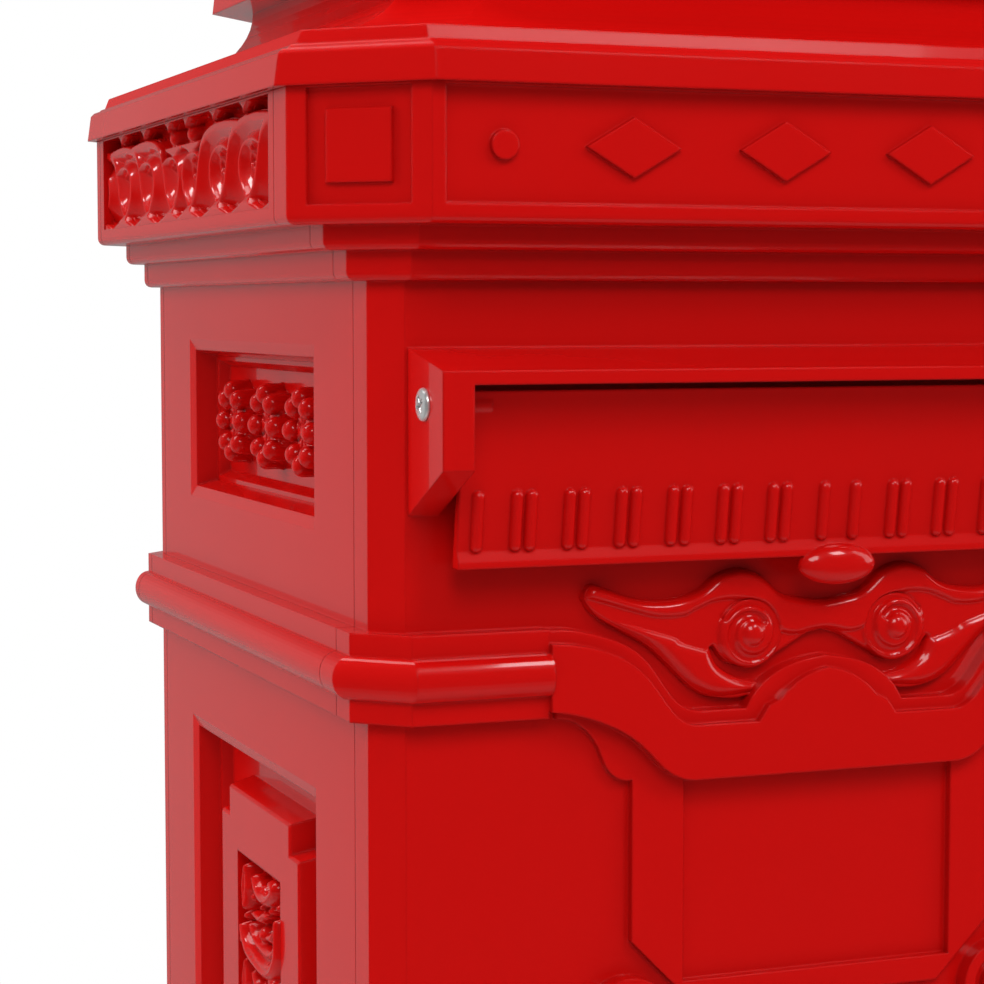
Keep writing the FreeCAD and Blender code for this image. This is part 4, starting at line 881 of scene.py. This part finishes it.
@dataclass
class SideFrieze(SideOrnament):
    """Running waves in the sunk frieze of both sides: fluted ribbons over almond eyes, under arches."""

    side_x: float = 192.5
    sink: float = 8.0
    middle_height: float = 874.6
    half_run: float = 128.6
    half_rise: float = 18.9
    first: float = 13.8
    step: float = 41.0
    waves: int = 3
    ridge: float = 6.4
    ridge_soft: float = 0.3
    flute_depth: float = 6.0
    flute_reach: float = 13.0
    eye_depth: float = 4.7
    eye_reach: float = 7.5
    hollow: float = 0.6
    hollow_reach: float = 2.2
    band_width: float = 2.2
    band_rise: Point = (1.0, 11.0)
    edge_spacing: float = 1.0
    tip: Point = (11.0, 15.5)
    tip_drop: float = 1.0
    spandrel_low: float = 5.9
    spandrel_high: float = 7.5
    spandrel_slope: Point = (13.0, 16.5)
    arch_spring: float = 14.2
    arch_rise: float = 6.0
    bar_level: float = 5.6
    curl_relief: float = 3.6
    curl_widths: tuple[float, ...] = (0.7, 1.0, 0.8)
    ball_radius: float = 4.5
    ball_relief: float = 6.6
    ball_rise: float = 13.0

    STEM = "wave"
    REAR = ((-40.8, -15.4), (-32.2, -9.0), (-29.4, -4.2), (-27.5, 0.3), (-23.7, 7.6), (-19.4, 10.8),
            (-14.6, 12.6), (-2.9, 14.3), (10.0, 14.4), (20.0, 13.9), (29.5, 13.1))
    RIBBON_END = ((26.4, 12.6), (21.6, 10.8), (17.3, 7.6))
    EYE_EDGE = ((14.9, 3.7), (8.2, 5.5), (0.9, 5.6), (-5.4, 4.2), (-9.8, 0.8), (-10.8, -4.1), (-8.2, -8.9),
                (-0.2, -15.4))
    EYE_SIDE = ((8.8, -9.0), (11.6, -4.2), (13.5, 0.3))
    FOOT = ((-20.5, -19.4),)
    SPANDREL = ((0.0, -12.8), (7.0, -16.2), (20.5, -18.9), (20.5, -21.0), (-20.5, -21.0), (-20.5, -18.9),
                (-7.0, -16.2))
    BAR = ((-30.0, 10.2), (30.0, 10.2), (24.0, 7.6), (18.5, 6.6), (13.0, 5.8), (7.0, 7.2), (0.0, 8.4),
           (-7.0, 7.2), (-13.0, 5.8), (-18.5, 6.6), (-24.0, 7.6))
    CURL = ((1.5, 3.2), (-3.6, 1.2), (-4.8, -1.6), (-2.4, -3.8), (1.0, -4.4))
    # Each bead is its place, its radius and its height
    BEADS = ((0.6, 3.0, 2.3, 5.4), (7.4, 2.2, 1.5, 4.6), (-3.4, -3.2, 1.7, 3.8))

    def side(self, name: str, face: Face) -> Relief:
        """Carve one side.

        Args:
            name: Name of the piece.
            face: Side of the pillar.

        Returns:
            The carved relief.
        """
        relief = self.blank(name, face, self.middle_height, (self.half_run, self.half_rise))
        self.carve(relief)
        return relief

    def line(self, path: Sequence[Point], k: int) -> list[Point]:
        """A smooth edge of one wave, counted from the middle."""
        return shifted(smooth_path(path, self.edge_spacing)[:, :2].tolist(), self.first + self.step * k)

    def fluted(self, gap: np.ndarray, depth: float, reach: float) -> np.ndarray:
        """Heights of a hollow between raised edges.

        Args:
            gap: Distance to the nearest edge.
            depth: Depth of the hollow.
            reach: Distance from an edge at which the hollow is deepest.

        Returns:
            The heights.
        """
        soft = np.sqrt(gap ** 2 + self.ridge_soft ** 2) - self.ridge_soft
        share = np.clip(soft / reach, 0.0, 1.0)
        return self.ridge - depth * (1.0 - (1.0 - share) ** 2)

    def carve(self, relief: Relief) -> None:
        """Work out the heights of one half of a side, and mirror them.

        Args:
            relief: Relief to carve.
        """
        rears = [relief.distance(self.line(self.REAR, k)) for k in range(1, self.waves + 2)]
        edges = [relief.distance(self.line(self.EYE_EDGE, k)) for k in range(self.waves + 1)]
        nearest = np.minimum.reduce(rears + edges)
        heights = self.fluted(nearest, self.ridge - self.hollow, self.hollow_reach)
        flute = self.fluted(nearest, self.flute_depth, self.flute_reach)
        stem = (relief.across < self.first) & (relief.up < self.BAR[0][1])
        heights = np.where(stem, flute, heights)
        band = self.band_width * smooth_step(relief.up, *self.band_rise)
        for k in range(1, self.waves + 1):
            outline = self.line(self.REAR, k) + shifted(self.RIBBON_END, self.first + self.step * k)
            outline += self.line(self.EYE_EDGE, k) + shifted(self.FOOT, self.first + self.step * k)
            gap = np.minimum.reduce([np.clip(rears[k - 1] - band, 0.0, None), rears[k], edges[k]])
            ribbon = self.fluted(gap, self.flute_depth, self.flute_reach)
            heights = np.where(relief.depth_inside(outline) > 0.0, ribbon, heights)
        tip_rise = self.ridge - self.tip_drop - self.hollow
        tip = self.hollow + tip_rise * smooth_step(-relief.up, *self.tip)
        bowl = np.maximum(self.fluted(nearest, self.eye_depth, self.eye_reach), tip)
        for k in range(self.waves + 1):
            outline = self.line(self.EYE_EDGE, k) + shifted(self.EYE_SIDE, self.first + self.step * k)
            heights = np.where(relief.depth_inside(outline) > 0.0, bowl, heights)
        relief.heights = heights
        self.fill_corners(relief)
        for k in range(self.waves + 1):
            self.fill_eye(relief, self.first + self.step * k)
        relief.dome((self.first, self.ball_rise), self.ball_radius, self.ball_relief)
        relief.heights = np.where(relief.across < 0.0, np.fliplr(relief.heights), relief.heights)

    def fill_corners(self, relief: Relief) -> None:
        """Raise the flat corners between feet and arches, and the bar over the middle eyes.

        Args:
            relief: Relief to work on.
        """
        def raise_to(level: np.ndarray | float, inside: np.ndarray) -> None:
            """Blend the heights to a level over a short slope at its edge."""
            share = smooth_step(inside, -self.pitch, self.pitch)
            relief.heights = relief.heights + (level - relief.heights) * share

        raise_to(self.bar_level, relief.depth_inside(self.BAR))
        rise = self.spandrel_high - self.spandrel_low
        slope = self.spandrel_low + rise * smooth_step(-relief.up, *self.spandrel_slope)
        for k in range(self.waves + 2):
            raise_to(slope, relief.depth_inside(shifted(self.SPANDREL, self.first + self.step * k)))
        past = relief.across - self.first
        half = np.where(past < 0.0, self.first, self.step / 2)
        from_top = np.where(past < 0.0, relief.across, np.mod(past, self.step) - self.step / 2)
        arch = self.arch_spring + self.arch_rise * np.sqrt(np.clip(1.0 - (from_top / half) ** 2, 0.0, None))
        raise_to(self.spandrel_high, relief.up - arch)

    def fill_eye(self, relief: Relief, across: float) -> None:
        """Put the curl and the beads in one eye.

        Args:
            relief: Relief to work on.
            across: Middle of the eye.
        """
        if across - self.step / 2 > self.half_run:
            return
        relief.stroke(shifted(self.CURL, across), self.curl_widths, self.curl_relief)
        for right, up, radius, height in self.BEADS:
            relief.dome((across + right, up), radius, height)


@dataclass
class RosetteBodies(SideOrnament):
    """Lobed flower bodies under the beads of the rosettes, in the upper recess of each side."""

    sink: float = 14.6
    middle_height: float = 775.85
    apart: float = 48.6
    half_rise: float = 20.0
    pitch: float = 0.5
    lobes: int = 8
    lobe_points: int = 12
    radius: float = 15.9
    lobe: float = 1.2
    body_relief: float = 6.2
    rounding: float = 2.6
    eye_radius: float = 3.6
    eye_relief: float = 7.2
    rib_width: float = 0.9
    rib_depth: float = 1.4

    STEM = "rosette"

    def ray(self, across: float, radius: float, turn: float) -> Point:
        """A point of one rosette, by its distance and angle from the middle."""
        return across + radius * math.cos(turn), radius * math.sin(turn)

    def side(self, name: str, face: Face) -> Relief:
        """Carve the three bodies of one side.

        Args:
            name: Name of the piece.
            face: Side of the pillar.

        Returns:
            The carved relief.
        """
        reach = self.apart + self.half_rise
        relief = self.blank(name, face, self.middle_height, (reach, self.half_rise))
        for across in (-self.apart, 0.0, self.apart):
            turns = np.linspace(0.0, 2 * math.pi, self.lobe_points * self.lobes, endpoint=False)
            outline = [self.ray(across, self.radius + self.lobe * math.cos(self.lobes * turn), turn)
                       for turn in turns]
            relief.plate(outline, self.body_relief, self.rounding)
            for k in range(self.lobes):
                turn = 2 * math.pi * (k + 0.5) / self.lobes
                ends = (self.eye_radius, self.radius - self.lobe)
                rib = [self.ray(across, radius, turn) for radius in ends]
                relief.groove(rib, (self.rib_width,), self.rib_depth)
            relief.dome((across, 0.0), self.eye_radius, self.eye_relief)
        return relief


@dataclass
class TabletFoliage(SideOrnament):
    """Column of leaf scrolls in the sunk panel of each side's tablet."""

    sink: float = 9.3
    low: float = 217.5
    high: float = 602.0
    half_width: float = 31.0
    pitch: float = 0.65
    step: float = 38.4
    relief: float = 8.4
    bead_share: float = 0.75
    edge_height: float = 5.4
    edge_slope: float = 1.6

    STEM = "leaf"
    # Each stroke is its path, its half widths along it and its share of the relief
    STROKES = (
        (((-16.5, 15.6), (-18.8, 7.5), (-18.0, -0.6)), (2.0, 6.2, 2.6), 0.92),
        (((-5.0, 13.5), (-1.0, 9.5), (5.0, 7.6), (13.0, 8.6), (20.0, 12.0), (22.5, 15.0), (18.5, 16.0)),
         (2.0, 3.8, 4.0, 3.4, 2.2), 0.92),
        (((-21.5, -9.5), (-16.5, -15.2), (-9.0, -18.6), (9.2, -20.3), (20.0, -18.0), (27.0, -11.8),
          (28.8, -4.0), (28.2, 3.0)), (1.8, 4.4, 4.8, 4.8, 4.0, 1.8), 1.0),
        (((-14.0, -7.5), (-8.0, -12.0), (4.0, -13.8), (15.0, -13.0), (21.5, -8.5), (21.0, -3.0)),
         (1.4, 2.6, 2.8, 1.6), 0.76),
        (((-8.0, -1.5), (0.0, -2.0), (6.0, 0.5), (11.5, 1.5)), (1.4, 2.8, 1.4), 0.80),
        (((9.5, -7.5), (14.5, -6.4), (18.5, -3.5)), (1.8, 3.2, 1.4), 0.72),
    )
    # Each vein is its path, its half widths along it and its depth
    VEINS = (
        (((-17.0, 13.0), (-18.2, 7.5), (-17.8, 1.5)), (0.5, 1.1, 0.5), 1.0),
        (((-12.0, -16.6), (8.8, -19.6), (20.5, -16.8), (26.6, -9.5)), (0.4, 0.9, 0.9, 0.4), 0.8),
    )
    # Each bead is its place and its radius
    BEADS = ((4.5, 9.0, 4.2), (16.0, 10.5, 4.2), (2.0, -8.0, 4.2), (15.8, 4.6, 2.2), (26.6, 8.2, 2.2),
             (-20.4, -5.2, 2.4), (-27.6, -16.5, 3.0), (-9.6, 4.6, 2.6), (3.0, 3.2, 1.8))

    def side(self, name: str, face: Face) -> Relief:
        """Carve one side.

        Args:
            name: Name of the piece.
            face: Side of the pillar.

        Returns:
            The carved relief.
        """
        middle = (self.low + self.high) / 2
        half = (self.high - self.low) / 2
        relief = self.blank(name, face, middle, (self.half_width, half))
        count = int(2 * half // self.step)
        for k in range(count):
            up = (k - (count - 1) / 2) * self.step
            for path, widths, share in self.STROKES:
                relief.stroke(shifted(path, 0.0, up), widths, share * self.relief)
            for path, widths, depth in self.VEINS:
                relief.groove(shifted(path, 0.0, up), widths, depth)
            for across, rise, radius in self.BEADS:
                relief.dome((across, rise + up), radius, self.bead_share * self.relief)
        inwards = np.minimum(self.half_width - np.abs(relief.across), half - np.abs(relief.up))
        relief.heights = np.minimum(relief.heights, self.edge_height + self.edge_slope * inwards)
        return relief


# Fasteners

@dataclass
class PivotScrews:
    """The two pan-head screws that the flap hangs on: cross recess, rounded head and threaded shank."""

    cheek_x: float = 154.0
    pivot_y: float = -172.5
    pivot_height: float = 790.7
    head_radius: float = 5.5
    head_rise: float = 1.9
    head_edge: float = 0.6
    recess_reach: float = 2.7
    recess_half: float = 0.55
    recess_depth: float = 1.3
    recess_flank: float = 0.25
    recess_end: float = 0.35
    dome_power: int = 4
    shank_radius: float = 2.5
    thread_depth: float = 0.32
    thread_pitch: float = 0.8
    length: float = 21.0
    turn: float = 24.0
    around: int = 96
    head_rings: int = 22

    def recess(self, radius: float, angle: float) -> float:
        """Depth of the cross recess at one point of the head.

        Args:
            radius: Distance from the screw's axis.
            angle: Angle around the axis.

        Returns:
            The depth.
        """
        own = angle + math.radians(self.turn)
        off_arm = min(abs(radius * math.sin(own)), abs(radius * math.cos(own)))
        in_arm = 1.0 - min(max((off_arm - self.recess_half) / self.recess_flank, 0.0), 1.0)
        in_reach = 1.0 - min(max((radius - self.recess_reach) / self.recess_end, 0.0), 1.0)
        return self.recess_depth * in_arm * in_reach

    def profile(self) -> list[tuple[float, float, bool]]:
        """Rings of a screw from the middle of its head to its tip.

        Returns:
            Radius, height outwards from under the head, and whether the ring lies on the domed top.
        """
        rings = []
        for k in range(1, self.head_rings + 1):
            share = k / self.head_rings
            bulge = math.sqrt(1.0 - share ** self.dome_power)
            rise = self.head_edge + (self.head_rise - self.head_edge) * bulge
            rings.append((self.head_radius * share, rise, True))
        rings.append((self.head_radius, 0.0, False))
        turns = int((self.length - self.thread_pitch) / self.thread_pitch)
        for k in range(turns):
            along = -k * self.thread_pitch
            rings.append((self.shank_radius - self.thread_depth, along, False))
            rings.append((self.shank_radius, along - self.thread_pitch / 2, False))
        rings.append((self.shank_radius - 2 * self.thread_depth, -self.length, False))
        return rings

    def build(self, shelf: FinishShelf) -> list[bpy.types.Object]:
        """Make and dress the pair, in place of its plain solids.

        Args:
            shelf: Finished materials.

        Returns:
            The new piece.
        """
        points, faces = [], []
        for side in (-1.0, 1.0):
            self.add_screw(side, points, faces)
        mesh = bpy.data.meshes.new("pivot_screw_pair")
        mesh.from_pydata(points, [], faces)
        mesh.polygons.foreach_set("use_smooth", [True] * len(mesh.polygons))
        piece = placed("pivot_screw_pair", mesh)
        shelf.dress(piece, Slot.ZINC_STEEL)
        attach(piece, PILLAR)
        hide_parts("flap_pivot_screws")
        return [piece]

    def add_screw(self, side: float, points: list[tuple[float, float, float]],
                  faces: list[tuple[int, ...]]) -> None:
        """Add one screw's points and faces.

        Args:
            side: -1 for the left cheek and 1 for the right.
            points: Points so far.
            faces: Faces so far.
        """
        def spot(radius: float, angle: float, out: float) -> tuple[float, float, float]:
            """A point of the screw in metres."""
            return ((side * (self.cheek_x + out)) * MM, (self.pivot_y + radius * math.cos(angle)) * MM,
                    (self.pivot_height + radius * math.sin(angle)) * MM)

        first = len(points)
        rings = self.profile()
        points.append(spot(0.0, 0.0, self.head_rise - self.recess_depth))
        for radius, out, on_top in rings:
            for k in range(self.around):
                angle = 2 * math.pi * k / self.around
                sunk = self.recess(radius, angle) if on_top else 0.0
                points.append(spot(radius, angle, out - sunk))
        points.append(spot(0.0, 0.0, -self.length))
        last = len(points) - 1

        def ring_point(ring: int, k: int) -> int:
            """Number of a ring's point."""
            return first + 1 + ring * self.around + k % self.around

        made = []
        for k in range(self.around):
            made.append((first, ring_point(0, k), ring_point(0, k + 1)))
            made.append((last, ring_point(len(rings) - 1, k + 1), ring_point(len(rings) - 1, k)))
            for ring in range(len(rings) - 1):
                made.append((ring_point(ring, k), ring_point(ring + 1, k), ring_point(ring + 1, k + 1),
                             ring_point(ring, k + 1)))
        faces.extend(face[::-1] if side < 0.0 else face for face in made)


# Studio

@dataclass(frozen=True)
class AreaLamp:
    """One soft box of the studio."""

    name: str
    place: tuple[float, float, float]
    aim: tuple[float, float, float]
    size: float
    power: float
    mirrored: bool = True

    def build(self) -> None:
        """Hang the soft box and point it at its aim."""
        lamp = bpy.data.lights.new(self.name, "AREA")
        lamp.shape = "SQUARE"
        lamp.size = self.size
        lamp.energy = self.power
        item = placed(self.name, lamp)
        item.location = self.place
        item.visible_glossy = self.mirrored
        item.rotation_euler = (Vector(self.aim) - Vector(self.place)).to_track_quat("-Z", "Y").to_euler()


@dataclass
class Studio:
    """Floor, soft boxes, surroundings and camera."""

    floor_radius: float = 1.5
    floor_points: int = 96
    floor_rough: float = 0.6
    mottle_size: float = 180.0
    mottle_detail: float = 4.0
    mottle_edge: tuple[float, float] = (0.3, 0.7)
    mottle_shade: float = 0.96
    floor_fade: tuple[float, float] = (0.5, 1.3)
    floor_colour: Colour = (0.80, 0.80, 0.80)
    mirrored_floor: Colour = (0.22, 0.22, 0.22)
    mirrored_fade: tuple[float, float] = (0.7, 1.5)
    room_level: float = 0.36
    wall_level: float = 0.30
    shade_level: float = 0.02
    wall_turn: tuple[float, float] = (0.15, 0.65)
    wall_rise: tuple[float, float] = (0.10, 0.45)
    camera_place: tuple[float, float, float] = (-0.42408, -0.93716, 0.822)
    camera_turn: float = -21.008
    camera_tilt: float = -4.220
    camera_lens: float = 91.22
    sensor: float = 36.0
    nearest: float = 0.01
    level_tilt: float = 90.0

    LAMPS = (
        AreaLamp("front_left_box", place=(-0.7, -2.1, 2.3), aim=(0.0, 0.0, 0.6), size=1.1, power=28.0),
        AreaLamp("front_right_box", place=(1.17, -1.95, 2.95), aim=(0.0, 0.0, 0.7), size=0.8, power=25.0),
        AreaLamp("left_box", place=(-2.3, 0.8, 1.7), aim=(0.0, 0.0, 0.6), size=2.0, power=41.0,
                 mirrored=False),
        AreaLamp("left_glint", place=(-1.5, 0.9, 2.1), aim=(0.0, 0.0, 0.8), size=0.3, power=4.0),
        AreaLamp("right_box", place=(2.3, -0.4, 1.7), aim=(0.0, 0.0, 0.6), size=2.0, power=30.0),
        AreaLamp("top_box", place=(-0.6, 0.9, 2.9), aim=(0.0, 0.0, 0.8), size=1.5, power=28.0),
    )

    def build(self) -> None:
        """Set up the whole studio."""
        bpy.context.scene.view_settings.view_transform = "Standard"
        self.floor()
        for lamp in self.LAMPS:
            lamp.build()
        self.surroundings()
        self.camera()

    def floor(self) -> None:
        """Lay the pale floor, a disc that fades to the white of the room in the camera's eye."""
        mesh = bpy.data.meshes.new("floor")
        rim = [(self.floor_radius * math.cos(turn), self.floor_radius * math.sin(turn), 0.0)
               for turn in np.linspace(0.0, 2 * math.pi, self.floor_points, endpoint=False)]
        mesh.from_pydata(rim, [], [tuple(range(len(rim)))])
        floor = placed("floor", mesh)
        material, sheet = fresh_material("pale_floor")
        mottle = sheet.noise(self.mottle_size, self.mottle_detail)
        darker = tuple(self.mottle_shade * level for level in self.floor_colour)
        plain = sheet.blend(mottle.ramp(*self.mottle_edge), self.floor_colour, darker)
        reach = sheet.add("ShaderNodeVectorMath", {"operation": "LENGTH"}, {0: sheet.place()}, "Value")
        shade = (self.shade_level,) * 3
        mirrored_colour = sheet.blend(reach.ramp(*self.mirrored_fade), self.mirrored_floor, shade)
        colour = sheet.blend(sheet.ray("Is Glossy Ray"), plain, mirrored_colour)
        matt = sheet.add("ShaderNodeBsdfPrincipled", {},
                         {"Base Color": colour, "Roughness": self.floor_rough})
        white = sheet.add("ShaderNodeEmission", {}, {"Color": WHITE, "Strength": 1.0})
        faded = reach.ramp(*self.floor_fade) * sheet.ray("Is Camera Ray")
        sheet.surface(sheet.node("ShaderNodeMixShader", {}, {0: faded, 1: matt, 2: white}))
        mesh.materials.append(material)

    def surroundings(self) -> None:
        """A white wall behind the mailbox and a dimmer room elsewhere."""
        world = bpy.data.worlds.new("studio_room")
        bpy.context.scene.world = world
        world.use_nodes = True
        sheet = NodeSheet(world.node_tree)
        looking = sheet.add("ShaderNodeTexCoord", {}, {}, "Generated")
        heading = sheet.node("ShaderNodeSeparateXYZ", {}, {0: looking})
        back = Signal(sheet, heading.outputs["Y"]).ramp(*self.wall_turn)
        low = 1.0 - Signal(sheet, heading.outputs["Z"]).ramp(*self.wall_rise)
        seen = sheet.ray("Is Camera Ray")
        glossy = sheet.ray("Is Glossy Ray")
        mirrored_level = self.shade_level + back * low * (self.wall_level - self.shade_level)
        plain = self.room_level * (1.0 - glossy) + mirrored_level * glossy
        level = plain * (1.0 - seen) + seen
        shader = sheet.node("ShaderNodeBackground", {}, {"Color": WHITE, "Strength": level})
        sheet.surface(shader)

    def camera(self) -> None:
        """Put the camera where the photograph was taken from."""
        data = bpy.data.cameras.new("photo_camera")
        data.lens = self.camera_lens
        data.sensor_width = self.sensor
        data.clip_start = self.nearest
        item = placed("photo_camera", data)
        item.location = self.camera_place
        tilt = math.radians(self.level_tilt + self.camera_tilt)
        item.rotation_euler = (tilt, 0.0, math.radians(self.camera_turn))
        bpy.context.scene.camera = item


def main() -> None:
    """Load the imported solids, dress them, add the carving and set up the studio."""
    logging.basicConfig(level=logging.INFO, format="%(name)s: %(message)s")
    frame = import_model()
    shelf = FinishShelf()
    shelf.dress_solids(frame)
    for ornament in (Crest(), SideFrieze(), RosetteBodies(), TabletFoliage(), PivotScrews()):
        for piece in ornament.build(shelf):
            LOG.info("%s: %d faces", piece.name, len(piece.data.polygons))
    Studio().build()


if __name__ == "__main__":
    main()
